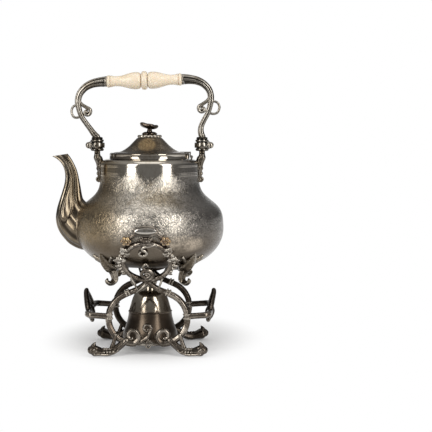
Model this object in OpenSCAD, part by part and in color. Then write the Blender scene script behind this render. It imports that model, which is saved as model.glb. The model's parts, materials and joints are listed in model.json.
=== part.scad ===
// Spirit kettle on a cast scroll stand, with a spirit lamp below.
// Millimetres. +X is to the right of the spout, which points to -X. +Y is to the back, +Z is up.
// The origin is on the table, under the kettle's axis.

/* [Kettle] */
// Height of the kettle's flat bottom above the table, while it sits in the stand
bottom_z = 119; // [118:0.5:120]
// Radius of the belly at its widest
belly_r = 103.6; // [103:0.1:103.8]
// Height of the belly's widest place
belly_z = 171; // [170:0.5:172]
// Radius of the straight neck
neck_r = 68.6; // [68:0.1:69]
// Radius of the mouth that the lid closes
mouth_r = 50.5; // [50.3:0.1:50.8]
// Thickness of the raised sheet
wall = 1.6; // [1.4:0.1:1.8]

/* [Lid] */
// Outer radius of the lid's rim
lid_r = 56; // [55.5:0.1:56.2]
// Height of the lid's rim band
lid_band_h = 7.2; // [6.8:0.1:7.4]
// Height of the finial's top above the table
finial_top_z = 319; // [318:0.5:320]

/* [Bail handle] */
// Distance of each bail pivot from the kettle's axis
pivot_x = 73.2; // [73:0.1:73.4]
// Height of the bail's pivot axis
pivot_z = 286; // [285.8:0.1:286.2]
// Height of the grip's axis
grip_z = 376; // [374:1:378]
// Length of the turned grip
grip_length = 104; // [102:1:105]
// How far the bail leans to the spout side at the grip
bail_lean = 7; // [0:1:8]

/* [Stand] */
// Distance of each scroll frame from the middle plane
frame_y = 59; // [58.8:0.1:59.2]
// Radius of the big arc of each scroll
scroll_r = 35; // [34.8:0.1:35.2]
// Radius of the cradle rings' centre line
cradle_r = 32.5; // [32.3:0.1:32.6]
// Lean of the cradle rings from upright, in degrees
cradle_lean = 36; // [35.8:0.1:36.2]

/* [Lamp] */
// Radius of the lamp's foot
lamp_r = 39; // [38:0.5:39.5]
// Height of the lamp's top above the table
lamp_top_z = 95; // [94:0.5:96]

/* [Hidden] */
$fn = 72;

// Belly: the lower half is an ellipse about this circle, the upper half an S-curve into the neck
belly_core_r = 45;
belly_drop = belly_z - bottom_z;
shoulder_mid_z = belly_z + 38.3;
shoulder_softness = 6.9;
neck_top_z = 259.7;
seam_z = 266.9;
mouth_flange_r = 57.4;
base_plate_r = 51;

// Lid
lid_z = seam_z + 0.4;
lid_top_z = lid_z + lid_band_h;
bezel_r = mouth_r - 1;
dome_foot_r = 43.4;
dome_neck_r = 18.2;
dome_rise = 19.6;
dome_foot_z = lid_top_z + 2;
dome_top_z = dome_foot_z + dome_rise;
lid_pin_x = 58.6;
lid_pin_z = 270;
lid_pin_r = 0.9;
lid_knuckle_r = 2.1;

// Bail pivots
pivot_pin_r = 2.2;
pivot_bore_r = 2.28;
tongue_t = 4;
slot_t = 4.8;
collar_r = 9;
collar_bottom_z = pivot_z - 8;
collar_top_z = pivot_z + 11.6;
slot_top_z = pivot_z + 6.4;

// Stand
ring_tube_r = 2.9;
cradle_z = 131.6;
cradle_y = 86.15;
scroll_x = 18.6;
scroll_z = 51.2;
handle_x = 84;
lamp_ring_z = 9;
lamp_ring_h = 3.5;
lamp_foot_z = 12.9;

// Curves and sweeps

// A point on the smooth curve through the control points p, a share t of the way from point i to the next
function curve_point(p, i, t) =
  let(a = p[max(i - 1, 0)], b = p[i], c = p[i + 1], d = p[min(i + 2, len(p) - 1)])
  0.5 * (2 * b + (c - a) * t + (2 * a - 5 * b + 4 * c - d) * t * t + (3 * b - a - 3 * c + d) * t * t * t);

// The smooth curve through the control points, with n steps from each to the next
function smooth(p, n) = concat(
  [for (i = [0 : len(p) - 2]) for (k = [0 : n - 1]) curve_point(p, i, k / n)],
  [p[len(p) - 1]]
);

// An arc in the XZ plane: centre, start and end radius, start and end angle, start and end thickness
function scroll_arc(cx, cz, r0, r1, a0, a1, t0, t1, n) = [
  for (k = [0 : n])
    let(s = k / n, r = r0 + (r1 - r0) * s, a = a0 + (a1 - a0) * s)
    [cx + r * cos(a), 0, cz + r * sin(a), t0 + (t1 - t0) * s]
];

function unit(v) = v / norm(v);
function spot(q) = [q[0], q[1], q[2]];

// A rod along a path of [x, y, z, radius], flattened along ref by depth, with flutes round it
module strand(path, ref = [0, 1, 0], sides = 8, depth = 1, flutes = 0, flute_depth = 0) {
  n = len(path);
  points = [
    for (i = [0 : n - 1])
      let(
        t = unit(spot(path[min(i + 1, n - 1)]) - spot(path[max(i - 1, 0)])),
        u = unit(cross(ref, t)),
        v = cross(t, u)
      )
      for (k = [0 : sides - 1])
        let(a = 360 * k / sides, r = path[i][3] * (1 + flute_depth * cos(flutes * a)))
        spot(path[i]) + r * (cos(a) * u + depth * sin(a) * v)
  ];
  walls = [
    for (i = [0 : n - 2])
      for (k = [0 : sides - 1])
        let(a = i * sides + k, b = i * sides + (k + 1) % sides)
        each [[a, a + sides, b + sides], [a, b + sides, b]]
  ];
  caps = [
    [for (k = [0 : sides - 1]) k],
    [for (k = [0 : sides - 1]) n * sides - 1 - k]
  ];
  polyhedron(points, concat(walls, caps), convexity = 8);
}

module both_sides() {
  children();
  mirror([1, 0, 0])
    children();
}

// Places a piece that is drawn for the front frame at the front, or turned to the back
module at_frame(back) {
  rotate([0, 0, back ? 180 : 0])
    translate([0, -frame_y, 0])
      children();
}

// Places a piece that is drawn flat round the ring's centre into a leaning cradle ring
module at_cradle(back) {
  rotate([0, 0, back ? 180 : 0])
    translate([0, -cradle_y, cradle_z])
      rotate([cradle_lean, 0, 0])
        children();
}

module silver() {
  color([0.66, 0.62, 0.55])
    children();
}

module dark_silver() {
  color([0.46, 0.42, 0.36])
    children();
}

// Kettle body

function belly_radius(z, t) =
  z < belly_z
  ? belly_core_r + (belly_r - belly_core_r - t) * sqrt(max(0, 1 - pow((belly_z - z) / (belly_drop - t), 2)))
  : neck_r - t + (belly_r - neck_r) / (1 + exp((z - shoulder_mid_z) / shoulder_softness));

function body_side(t, z0) = concat(
  [for (a = [asin((belly_z - z0) / (belly_drop - t)) : -8 : 4])
    [belly_core_r + (belly_r - belly_core_r - t) * cos(a), belly_z - (belly_drop - t) * sin(a)]],
  [for (z = [belly_z : 5.5 : neck_top_z - 2]) [belly_radius(z, t), z]],
  [for (a = [0 : 15 : 90])
    [
      mouth_flange_r + (neck_r - mouth_flange_r - t) * cos(a),
      neck_top_z + (seam_z - neck_top_z - t) * sin(a)
    ]]
);

// The kettle's whole outside as a solid, from height z0 up, to fit pieces against
module body_fill(z0) {
  rotate_extrude()
    polygon(concat(
      [[0, z0]],
      [for (q = body_side(0, bottom_z + 0.4)) if (q[1] > z0) q],
      [[0, seam_z]]
    ));
}

module kettle_body() {
  outer = body_side(0, bottom_z + 0.4);
  inner = body_side(wall, bottom_z + 2);
  silver()
    difference() {
      rotate_extrude()
        polygon(concat(
          [[base_plate_r, bottom_z + 0.4]],
          outer,
          [for (k = [len(inner) - 1 : -1 : 0]) inner[k]],
          [[base_plate_r, bottom_z + 2]]
        ));
      spout_hole(spout_hole_r);
    }
}

module kettle_bottom() {
  silver()
    translate([0, 0, bottom_z])
      cylinder(r = base_plate_r, h = 2);
}

module mouth_ring() {
  silver()
    rotate_extrude()
      polygon([
        [mouth_r, seam_z - 14], [mouth_r + 1.6, seam_z - 14], [mouth_r + 1.6, seam_z - wall],
        [mouth_flange_r, seam_z - wall], [mouth_flange_r, seam_z], [mouth_r, seam_z]
      ]);
}

// Spout: control points along its centre line, with its radius

spout_line = [
  [-94, 0, 170, 26], [-104, 0, 174, 23.4], [-111, 0, 184, 19.2], [-112.4, 0, 199, 15.4],
  [-110.4, 0, 214, 12.8], [-108.9, 0, 229, 11.2], [-109.3, 0, 244, 10.1], [-111.7, 0, 256, 9.6],
  [-116, 0, 265, 9.8], [-121, 0, 272, 10.2]
];
spout_bore = [
  [-94, 0, 170, 10.5], [-104, 0, 174, 10.5], [-111, 0, 184, 10.3], [-112.4, 0, 199, 9.2],
  [-110.6, 0, 214, 8.2], [-109.2, 0, 229, 7.4], [-109.6, 0, 244, 7], [-112, 0, 256, 7.2],
  [-115.6, 0, 265, 7.9], [-121, 0, 275, 9]
];
spout_beak = [
  [-114, 0, 259, 7.6], [-121, 0, 266, 6.6], [-129, 0, 270, 4], [-136.4, 0, 271.6, 0.8]
];

// The mouth is cut nearly level, a little higher at the back
spout_mouth_tilt = 7;
spout_mouth_cut = 286.4;

module spout() {
  silver()
    difference() {
      union() {
        strand(smooth(spout_line, 3), sides = 20, flutes = 10, flute_depth = 0.05);
        strand(smooth(spout_beak, 3), sides = 10);
      }
      strand(smooth(spout_bore, 2), sides = 12);
      body_fill(bottom_z);
      rotate([0, -spout_mouth_tilt, 0])
        translate([-170, -20, spout_mouth_cut])
          cube([90, 40, 30]);
    }
}

// A thin framed plate round the spout's foot, bent to the belly
module spout_root() {
  silver()
    difference() {
      intersection() {
        translate([-belly_r + 8, 0, 173])
          rotate([0, -100, 0])
            translate([0, 0, -12])
              cylinder(r = 29.5, h = 22);
        rotate_extrude()
          translate([1.4, 0])
            polygon(concat([[0, bottom_z + 6]], [for (q = body_side(0, bottom_z + 6)) q], [[0, seam_z]]));
      }
      body_fill(bottom_z);
      strand(smooth(spout_line, 3), sides = 20, flutes = 10, flute_depth = 0.05);
    }
}

// The spout's hole through the belly, and the pierced patch soldered over it inside
spout_hole_z = 166;
spout_hole_r = 11;

module spout_hole(r) {
  translate([-belly_r + 20, 0, spout_hole_z])
    rotate([0, -90, 0])
      cylinder(r = r, h = 30);
}

module spout_strainer() {
  ring_holes = 8;
  patch = 1;
  silver()
    difference() {
      intersection() {
        spout_hole(spout_hole_r + 3);
        rotate_extrude()
          polygon(concat(
            [for (q = body_side(wall, bottom_z + 2)) if (q[1] > 140 && q[1] < 200) q],
            [[60, 199], [60, 141]]
          ));
      }
      rotate_extrude()
        polygon(concat(
          [for (q = body_side(wall + patch, bottom_z + 2)) if (q[1] > 136 && q[1] < 204) q],
          [[0, 203], [0, 137]]
        ));
      for (k = [0 : ring_holes])
        translate([0, k == 0 ? 0 : 7 * cos(45 * k), k == 0 ? 0 : 7 * sin(45 * k)])
          spout_hole(1.6);
    }
}

// Kettle feet, four at 45 degrees

kettle_foot_line = [
  [75, 0, 128, 5.8], [71, 0, 119, 5.4], [66.4, 0, 110, 4.8], [65, 0, 102.8, 4.4], [69, 0, 98.8, 3.8],
  [75, 0, 98.6, 3.4], [79.4, 0, 101.6, 2.6], [78.4, 0, 104.6, 1.4]
];

module kettle_foot(turn) {
  silver()
    rotate([0, 0, turn])
      difference() {
        union() {
          strand(smooth(kettle_foot_line, 3), sides = 8, depth = 1.3);
          strand(smooth([[60, 0, 117, 3], [73, 0, 124, 9.5], [86, 0, 135.5, 7], [95, 0, 147.5, 1]], 2),
                 sides = 8, depth = 1);
        }
        body_fill(bottom_z);
      }
}

// Handle lugs: a leaf on the neck, a curved arm and the tongue of the bail's pivot

module left_lug() {
  mirror([1, 0, 0])
    right_lug();
}

module right_lug() {
  arm = [
    [pivot_x, 0, pivot_z - 10.6, 3.6], [pivot_x - 0.2, 0, pivot_z - 15, 4.4], [pivot_x - 2.6, 0, 265.4, 4.6],
    [neck_r + 0.2, 0, 258.4, 4.2], [neck_r + 0.4, 0, 250, 3.2], [neck_r + 1.6, 0, 242, 2.2]
  ];
  silver()
    difference() {
      union() {
        strand(smooth(arm, 3), sides = 10);
        translate([neck_r + 3, 0, 238.6])
          sphere(r = 3.5);
        strand(smooth([
          [neck_r - 0.4, 0, 263, 4], [neck_r - 0.2, 0, 255, 9], [neck_r, 0, 246, 7.4],
          [neck_r + 0.8, 0, 236, 1.4]
        ], 2), ref = [1, 0, 0], depth = 0.36);
        translate([pivot_x - tongue_t / 2, 0, pivot_z])
          rotate([0, 90, 0])
            cylinder(r = 5, h = tongue_t);
        translate([pivot_x - tongue_t / 2, -3, pivot_z - 12])
          cube([tongue_t, 6, 12]);
      }
      translate([pivot_x - 10, 0, pivot_z])
        rotate([0, 90, 0])
          cylinder(r = pivot_bore_r, h = 20);
      body_fill(225);
    }
}

// Lid hinge: two fixed knuckles on the mouth, the pin, and the lid's own knuckle on its leaf

module knuckle(y0, y1) {
  translate([lid_pin_x, y0, lid_pin_z])
    rotate([-90, 0, 0])
      difference() {
        cylinder(r = lid_knuckle_r, h = y1 - y0);
        translate([0, 0, -1])
          cylinder(r = lid_pin_r + 0.06, h = y1 - y0 + 2);
      }
}

module lid_knuckles() {
  silver()
    for (side = [-1, 1])
      difference() {
        union() {
          knuckle(side < 0 ? -7 : 3.3, side < 0 ? -3.3 : 7);
          translate([lid_pin_x - 1.2, side < 0 ? -7 : 3.3, seam_z - 2.6])
            cube([2.4, 3.7, lid_pin_z - seam_z + 2.6]);
        }
        body_fill(neck_top_z);
        translate([lid_pin_x, -10, lid_pin_z])
          rotate([-90, 0, 0])
            cylinder(r = lid_pin_r + 0.06, h = 20);
      }
}

module lid_pin() {
  silver()
    translate([lid_pin_x, -8, lid_pin_z])
      rotate([-90, 0, 0])
        union() {
          cylinder(r = lid_pin_r, h = 16);
          translate([0, 0, -0.8])
            cylinder(r = 1.7, h = 1.3);
          translate([0, 0, 15.5])
            cylinder(r = 1.7, h = 1.3);
        }
}

module lid_leaf() {
  silver()
    difference() {
      union() {
        knuckle(-2.9, 2.9);
        translate([42.5, -5, lid_top_z + 0.6])
          cube([13, 10, 2]);
        translate([lid_r + 0.1, -2.9, lid_pin_z])
          cube([1.6, 5.8, lid_top_z + 2.6 - lid_pin_z]);
        translate([52, -2.9, lid_top_z + 0.6])
          cube([lid_r - 50.3, 5.8, 2]);
      }
      translate([lid_pin_x, -10, lid_pin_z])
        rotate([-90, 0, 0])
          cylinder(r = lid_pin_r + 0.06, h = 20);
    }
}

// Lid

module lid_rim() {
  silver()
    rotate_extrude()
      polygon([
        [bezel_r - 1.4, seam_z - 9], [bezel_r, seam_z - 9], [bezel_r, lid_z], [lid_r, lid_z],
        [lid_r, lid_top_z - 0.8], [lid_r - 0.8, lid_top_z], [bezel_r - 1.4, lid_top_z]
      ]);
}

// Height of the dome's outside at radius r
function dome_z(r) =
  let(share = max(0, (dome_foot_r - r) / (dome_foot_r - dome_neck_r)))
  dome_foot_z + dome_rise * pow(share, 1.4);

module lid_dome() {
  outer = [for (r = [dome_foot_r : -2.8 : dome_neck_r]) [r, dome_z(r)]];
  silver()
    rotate_extrude()
      polygon(concat(
        [[bezel_r - 4, lid_top_z], [lid_r - 1, lid_top_z]],
        [[lid_r - 1, lid_top_z + 0.6], [50, lid_top_z + 0.6]],
        outer,
        [[dome_neck_r, dome_top_z], [3.1, dome_top_z]],
        [[3.1, dome_top_z - 1.6], [dome_neck_r - 1.4, dome_top_z - 1.6]],
        [for (r = [dome_neck_r - 1.2 : 2.8 : dome_foot_r - 1.4]) [r, dome_z(r + 1.2) - 1.2]]
      ));
}

module lid_collar() {
  bumps = 12;
  silver()
    union() {
      translate([0, 0, dome_top_z])
        rotate_extrude()
          polygon([[3.1, 0], [17.2, 0], [17.8, 1.6], [16.4, 3.4], [12, 4.4], [6, 5], [3.1, 5]]);
      for (k = [0 : bumps - 1])
        rotate([0, 0, 360 * k / bumps])
          translate([15.4, 0, dome_top_z + 3])
            sphere(r = 2.3, $fn = 24);
    }
}

module lid_calyx() {
  leaves = 5;
  silver()
    difference() {
      union() {
        translate([0, 0, dome_top_z + 5])
          cylinder(r1 = 6.4, r2 = 3.6, h = 3);
        for (k = [0 : leaves - 1])
          rotate([0, 0, 360 * k / leaves])
            translate([0, 0, dome_top_z])
              strand(smooth([[3, 0, 8, 1.2], [7, 0, 7.4, 2.6], [11, 0, 6.4, 2], [13.6, 0, 7.4, 0.5]], 2),
                     sides = 6, depth = 1.3);
      }
      cylinder(r = 3.1, h = 400);
      translate([0, 0, dome_top_z])
        rotate_extrude()
          polygon([[0, 0], [17.2, 0], [17.8, 1.6], [16.4, 3.4], [12, 4.4], [6, 5], [0, 5]]);
    }
}

module finial() {
  petals = 5;
  knop_z = finial_top_z - 6.2;
  silver()
    union() {
      translate([0, 0, dome_top_z - 6])
        cylinder(r = 3, h = 16);
      translate([0, 0, dome_top_z + 9.9])
        rotate_extrude()
          polygon([[0, 0], [3.2, 0], [2.8, 4], [4.4, 8], [0, 8]]);
      translate([0, 0, knop_z])
        rotate([0, 12, 0])
          union() {
            translate([0, 0, -2.6])
              cylinder(r1 = 3.4, r2 = 8.4, h = 4);
            for (k = [0 : petals - 1])
              rotate([0, 0, 360 * k / petals + 36])
                strand(smooth([[1, 0, 1.2, 2], [6, 0, 1.4, 3.2], [10, 0, 0.8, 3], [12.8, 0, -0.4, 1.2]], 2),
                       depth = 1.3);
          }
    }
}

module finial_nut() {
  silver()
    difference() {
      translate([0, 0, dome_top_z - 4.6])
        cylinder(r = 6, h = 3, $fn = 6);
      translate([0, 0, dome_top_z - 10])
        cylinder(r = 3, h = 12);
    }
}

// Bail handle: the arms bend out to the knots, and in again over the grip

arm_line = [
  [pivot_x, 0, 297, 4.6], [74.6, 0, 302.4, 4.3], [77.2, 0, 310, 3.8], [82.4, 0, 319, 3.6],
  [87.8, 0, 328, 3.6], [91.4, 0, 339, 3.9], [92.6, 0, 350, 4.4], [89.8, 0, 360.4, 4.7],
  [82.4, 0, 368.8, 5.1], [73, 0, 373.6, 5.7], [63, 0, 375.6, 6.5], [55, 0, 376, 7.2]
];
// The handle is bent: just above its collars it leans to the spout side, and its grip slopes a little
bend_length = 9;
grip_slope = 0.029;
function lean_share(z) = 1 - exp(min(0, (collar_top_z - z) / bend_length));
function leaned(p, side) =
  let(s = lean_share(p[2]))
  [side * p[0] - bail_lean * s, p[1], p[2] + side * grip_slope * p[0] * s, p[3]];
function leaned_all(path, side) = [for (p = path) leaned(p, side)];

module bail_arm(side) {
  silver()
    union() {
      strand(leaned_all(smooth(arm_line, 4), side), sides = 12, flutes = 6, flute_depth = 0.05);
      difference() {
        translate([side * pivot_x, 0, 0])
          rotate_extrude()
            polygon([
              [0, collar_bottom_z], [6.8, collar_bottom_z],
              [7.4, collar_bottom_z + 1.6], [6.8, collar_bottom_z + 3],
              [8.8, collar_bottom_z + 4], [collar_r, pivot_z], [8.8, pivot_z + 5], [7.4, pivot_z + 5.8],
              [8.6, pivot_z + 6.8], [8.6, pivot_z + 8.4], [6.6, pivot_z + 9], [7, pivot_z + 10.2],
              [6.2, collar_top_z], [0, collar_top_z]
            ]);
        translate([side * pivot_x - slot_t / 2, -15, collar_bottom_z - 1])
          cube([slot_t, 30, slot_top_z - collar_bottom_z + 1]);
        translate([side * pivot_x - 15, 0, pivot_z])
          rotate([0, 90, 0])
            cylinder(r = pivot_pin_r, h = 30);
      }
    }
}

module bail_arm_left() {
  bail_arm(-1);
}

module bail_arm_right() {
  bail_arm(1);
}

// The knot on each arm: an open ring outside and a curled bud inside. The left ring is the narrower one.
function knot_ring(side) =
  let(w = side < 0 ? 0.8 : 1)
  [[91, 0, 343.4, 1.9], [91 + 5.4 * w, 0, 344.4, 1.8], [91 + 11.4 * w, 0, 341.8, 1.7],
   [91 + 13.6 * w, 0, 335.4, 1.7], [91 + 10.8 * w, 0, 329, 1.7], [91 + 5 * w, 0, 327, 1.8], [88.2, 0, 329, 2]];
knot_bud = concat(
  [[90.6, 0, 350, 1.9], [87.2, 0, 345.2, 2.2], [81.4, 0, 341.2, 2.4]],
  [for (k = [0 : 6])
    let(a = 140 + 48 * k, r = 5.8 - 0.55 * k)
    [80.6 + r * cos(a), 0, 334.2 + r * sin(a), 2.4 - 0.2 * k]]
);

module bail_knots(side) {
  silver()
    union() {
      strand(leaned_all(smooth(knot_ring(side), 2), side), sides = 8);
      strand(leaned_all(smooth(knot_bud, 2), side), sides = 8, depth = 1.25);
    }
}

module bail_knots_left() {
  bail_knots(-1);
}

module bail_knots_right() {
  bail_knots(1);
}

// Pivot pins, with a round rivet head inside and a pointed knob outside
module pivot_pin(side) {
  silver()
    translate([side * pivot_x, 0, pivot_z])
      rotate([0, side * 90, 0])
        union() {
          translate([0, 0, -collar_r])
            cylinder(r = pivot_pin_r, h = 2 * collar_r);
          translate([0, 0, -collar_r - 1.4])
            cylinder(r = 3.4, h = 1.4);
          translate([0, 0, collar_r])
            rotate_extrude()
              polygon([[0, 0], [3.6, 0], [4, 1.4], [3.2, 3.6], [1.6, 6], [0.8, 7.4], [0, 7.4]]);
        }
}

module pivot_pin_left() {
  pivot_pin(-1);
}

module pivot_pin_right() {
  pivot_pin(1);
}

// Grip, drawn along Z and laid along X on the leaning line between the arms

module at_grip() {
  translate([-bail_lean, 0, grip_z])
    rotate([0, 90 - 1.6, 0])
      children();
}

module grip_rod() {
  silver()
    at_grip()
      cylinder(r = 3, h = grip_length + 18, center = true);
}

module grip_ferrules() {
  silver()
    at_grip()
      for (side = [-1, 1])
        mirror([0, 0, side < 0 ? 1 : 0])
          difference() {
            translate([0, 0, grip_length / 2])
              cylinder(r = 7.4, h = 3);
            cylinder(r = 3, h = grip_length);
          }
}

// Half of the grip's outline, from the bead out to the end flange
barrel_outline = [
  [9.2, 5], [10.8, 6], [11.8, 9], [11.9, 14], [11, 20], [9.2, 26], [7.6, 32], [7, 38], [7.3, 43],
  [8.3, 46.4], [7.6, 47.4], [8.4, 48.4], [8.4, 50.8], [7.6, 52]
];

module grip_barrel(side) {
  color([0.9, 0.84, 0.68])
    at_grip()
      mirror([0, 0, side < 0 ? 1 : 0])
        rotate_extrude()
          polygon(concat(
            [[3, 5]],
            [for (p = barrel_outline) [p[0], p[1] * grip_length / 104]],
            [[3, grip_length / 2]]
          ));
}

module grip_barrel_left() {
  grip_barrel(-1);
}

module grip_barrel_right() {
  grip_barrel(1);
}

module grip_bead() {
  color([0.9, 0.84, 0.68])
    at_grip()
      rotate_extrude()
        polygon([
          [3, -5], [8.4, -5], [9, -4.2], [11.4, -3.8], [12.7, -2.2],
          [13, 0], [12.7, 2.2], [11.4, 3.8], [9, 4.2],
          [8.4, 5], [3, 5]
        ]);
}

// Stand: scroll frames

// One big scroll of a frame, from the boss round to its coil
function big_scroll() = concat(
  smooth([[1.5, -10, 106.4, 2.8], [-3.6, -5, 99.6, 3.3], [-14, -0.6, 91.4, 3.7], [-27.4, 0, 85.6, 3.9]], 3),
  scroll_arc(-scroll_x, scroll_z, scroll_r, scroll_r, 116, 262, 4, 4, 14),
  scroll_arc(-22, 26.9, 10.4, 3.8, 275, 632, 3.7, 1.4, 16)
);

module scroll_frame() {
  center_curl = concat(
    smooth([[-20, 0, 16.6, 2.6], [-9, 0, 19, 2.8], [0, 0, 26, 2.6]], 3),
    scroll_arc(-1.6, 37, 5.8, 2.6, 0, 330, 2.5, 1.6, 12)
  );
  foot_rod = smooth([[2, 0, 20, 1.5], [9, 0, 16.4, 1.9], [18, 0, 15.6, 2.4]], 3);
  pendant = concat(
    smooth([[0, 0, 22, 1.7], [-2.4, 0, 17, 1.6]], 3),
    scroll_arc(0.4, 13, 3, 1.8, 160, 430, 1.5, 1.1, 9)
  );
  union() {
    strand(big_scroll(), sides = 8);
    mirror([1, 0, 0])
      strand(big_scroll(), sides = 8);
    strand(center_curl, sides = 8);
    strand(foot_rod, sides = 8);
    strand(pendant, sides = 8);
  }
}

module front_scrolls() {
  dark_silver()
    at_frame(false)
      scroll_frame();
}

module back_scrolls() {
  dark_silver()
    at_frame(true)
      scroll_frame();
}

// The rolled volute on the foot of the cradle ring, where the two scrolls meet
module boss() {
  union() {
    strand([
      for (k = [0 : 9])
        let(a = -80 + 33 * k, r = 9 - 0.22 * k)
        [-1 + r * cos(a), -2.4, -21 + r * sin(a), 2.8 - 0.07 * k]
    ], sides = 8);
    translate([-1, -1.8, -21])
      sphere(r = 6.4);
    strand(smooth([
      [-3, -2.4, -14, 2], [-5, -2.6, -6.6, 1.8], [-1.4, -2.6, -2.4, 1.5], [1.6, -2.6, -5.4, 1.1]
    ], 3),
           sides = 8);
  }
}

module front_boss() {
  dark_silver()
    at_cradle(false)
      boss();
}

module back_boss() {
  dark_silver()
    at_cradle(true)
      boss();
}

// Cradle rings: the kettle's belly rests in them

module front_cradle() {
  dark_silver()
    at_cradle(false)
      rotate([90, 0, 0])
        rotate_extrude()
          translate([cradle_r, 0])
            circle(r = ring_tube_r);
}

module back_cradle() {
  dark_silver()
    at_cradle(true)
      rotate([90, 0, 0])
        rotate_extrude()
          translate([cradle_r, 0])
            circle(r = ring_tube_r);
}

// A pointed leaf, lying flat in the ring's plane
module leaf(length, width) {
  strand([
    [0, 0, 0, 0.8], [length * 0.15, 0, 0, width * 0.28], [length * 0.4, 0, 0, width * 0.5],
    [length * 0.7, 0, 0, width * 0.34], [length, 0, 0, 0.4]
  ], sides = 6, depth = 0.28);
}

// Vine leaves up both sides of the ring
module vines() {
  both_sides()
    for (step = [
      [-12, 20, 11, 9], [10, -14, 13, 11], [32, 30, 12, 10], [2, 100, 9, 7], [24, 130, 9, 7]
    ])
      rotate([0, -step[0], 0])
        translate([cradle_r, -2.6, 0])
          rotate([0, -step[1], 0])
            leaf(step[2], step[3]);
}

module front_vines() {
  dark_silver()
    at_cradle(false)
      vines();
}

module back_vines() {
  dark_silver()
    at_cradle(true)
      vines();
}

// A bunch of grapes on the branch at each upper shoulder of the ring
module grapes() {
  both_sides()
    translate([25.4, 0.8, 34.4])
      union() {
        for (k = [0 : 5])
          translate([4.1 * cos(60 * k), 0, 4.1 * sin(60 * k)])
            sphere(r = 2.6, $fn = 24);
        translate([0, -1.8, 0])
          sphere(r = 3, $fn = 24);
      }
}

module front_grapes() {
  color([0.66, 0.5, 0.28])
    at_cradle(false)
      grapes();
}

module back_grapes() {
  color([0.66, 0.5, 0.28])
    at_cradle(true)
      grapes();
}

// A shell on the top of the ring, bent back to the belly: two branches that carry the grapes, a fan and a
// smooth oval boss
branch_line = [
  [32, -1, 8, 1.6], [31.4, 0, 19, 2], [27.6, 2, 30, 2.4], [21, 4.4, 38.6, 2.4],
  [12, 5.8, 43, 2.6], [0, 6.4, 44.6, 3]
];
lobe_line = [[0, 0, 0, 1.6], [6, 2, 0, 2.6], [12, 5.4, 0, 2.8], [15, 7.2, 0, 1.2]];
boss_z = 47.4;

module palmette() {
  lobes = 5;
  union() {
    both_sides()
      strand(smooth(branch_line, 3));
    for (k = [0 : lobes - 1])
      translate([0, -0.6, cradle_r - 1])
        rotate([0, -(90 + 26 * (k - 2)), 0])
          strand(smooth(lobe_line, 2), depth = 0.8);
    strand(smooth([
      [-18, 7, boss_z - 1.6, 0.8], [-12, 6.8, boss_z, 4.6], [0, 6.6, boss_z + 0.4, 6.2],
      [12, 6.8, boss_z, 4.6], [18, 7, boss_z - 1.6, 0.8]
    ], 2), depth = 0.5);
  }
}

module front_palmette() {
  dark_silver()
    at_cradle(false)
      palmette();
}

module back_palmette() {
  dark_silver()
    at_cradle(true)
      palmette();
}

// Thin tendrils from the ring to the scrolls, and the curl inside the ring
module tendrils() {
  union() {
    strand(smooth([
      [-24, -15, 113, 1.5], [-19, -13, 103, 1.5], [-15.6, -6, 95, 1.4], [-12.6, -2, 88, 1]
    ], 3), sides = 6);
    strand(smooth([[21, -13, 111, 1.5], [18.4, -10, 102, 1.5], [14.6, -3, 92, 1.1]], 3), sides = 6);
  }
}

module ring_curl() {
  strand(concat(
    smooth([[9, -2, 31, 1.3], [4, -2, 22, 1.5]], 3),
    [for (k = [0 : 8])
      let(a = 60 - 40 * k, r = 6 - 0.3 * k)
      [-1.5 + r * cos(a), -2, 15 + r * sin(a), 1.5 - 0.06 * k]]
  ), sides = 6);
}

module front_tendrils() {
  dark_silver()
    union() {
      at_frame(false)
        tendrils();
      at_cradle(false)
        ring_curl();
    }
}

module back_tendrils() {
  dark_silver()
    union() {
      at_frame(true)
        tendrils();
      at_cradle(true)
        ring_curl();
    }
}

// Stand feet: a leg off the scroll, a sole and a blunt toe with a horn on it

foot_line = [
  [30, 0, 21, 3.6], [38, 0, 15.4, 4.2], [46.5, 0, 8.4, 4.6], [57, 0, 4.6, 5], [67, 0, 4.9, 5.6],
  [75, 0, 6.8, 5.4], [79.6, 0, 8.4, 2.4]
];
// The horn on the toe, and the stem beside the ankle
horn_line = [[71, 0, 9, 3.2], [70.6, 0, 14.6, 2], [69.4, 0, 20.4, 0.4]];
ankle_line = [[44.5, 0, 29, 2.6], [46.4, 0, 21, 2.4], [50.5, 0, 12, 3]];
// How far the feet turn out of the frame's plane, in degrees
foot_splay = 15;
foot_root_x = 30;

module stand_foot(turn, flip) {
  beads = 5;
  dark_silver()
    rotate([0, 0, turn])
      mirror([flip, 0, 0])
        translate([foot_root_x, -frame_y, 0])
          rotate([0, 0, -foot_splay])
            translate([-foot_root_x, 0, 0])
              difference() {
                union() {
                  strand(smooth(foot_line, 4), sides = 10, depth = 1.25);
                  strand(smooth(horn_line, 3), sides = 8);
                  strand(smooth(ankle_line, 3), sides = 8);
                  for (k = [0 : beads - 1])
                    translate([53 + 3.4 * k, -1.4, 9.4 + 0.12 * k])
                      sphere(r = 2, $fn = 24);
                }
                translate([0, -20, -10])
                  cube([100, 40, 10]);
              }
}

module stand_foot_1() {
  stand_foot(0, 1);
}

module stand_foot_2() {
  stand_foot(0, 0);
}

module stand_foot_3() {
  stand_foot(180, 1);
}

module stand_foot_4() {
  stand_foot(180, 0);
}

// Side handles: a rail from frame to frame with a pointed arch on top and a leaf below

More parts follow.
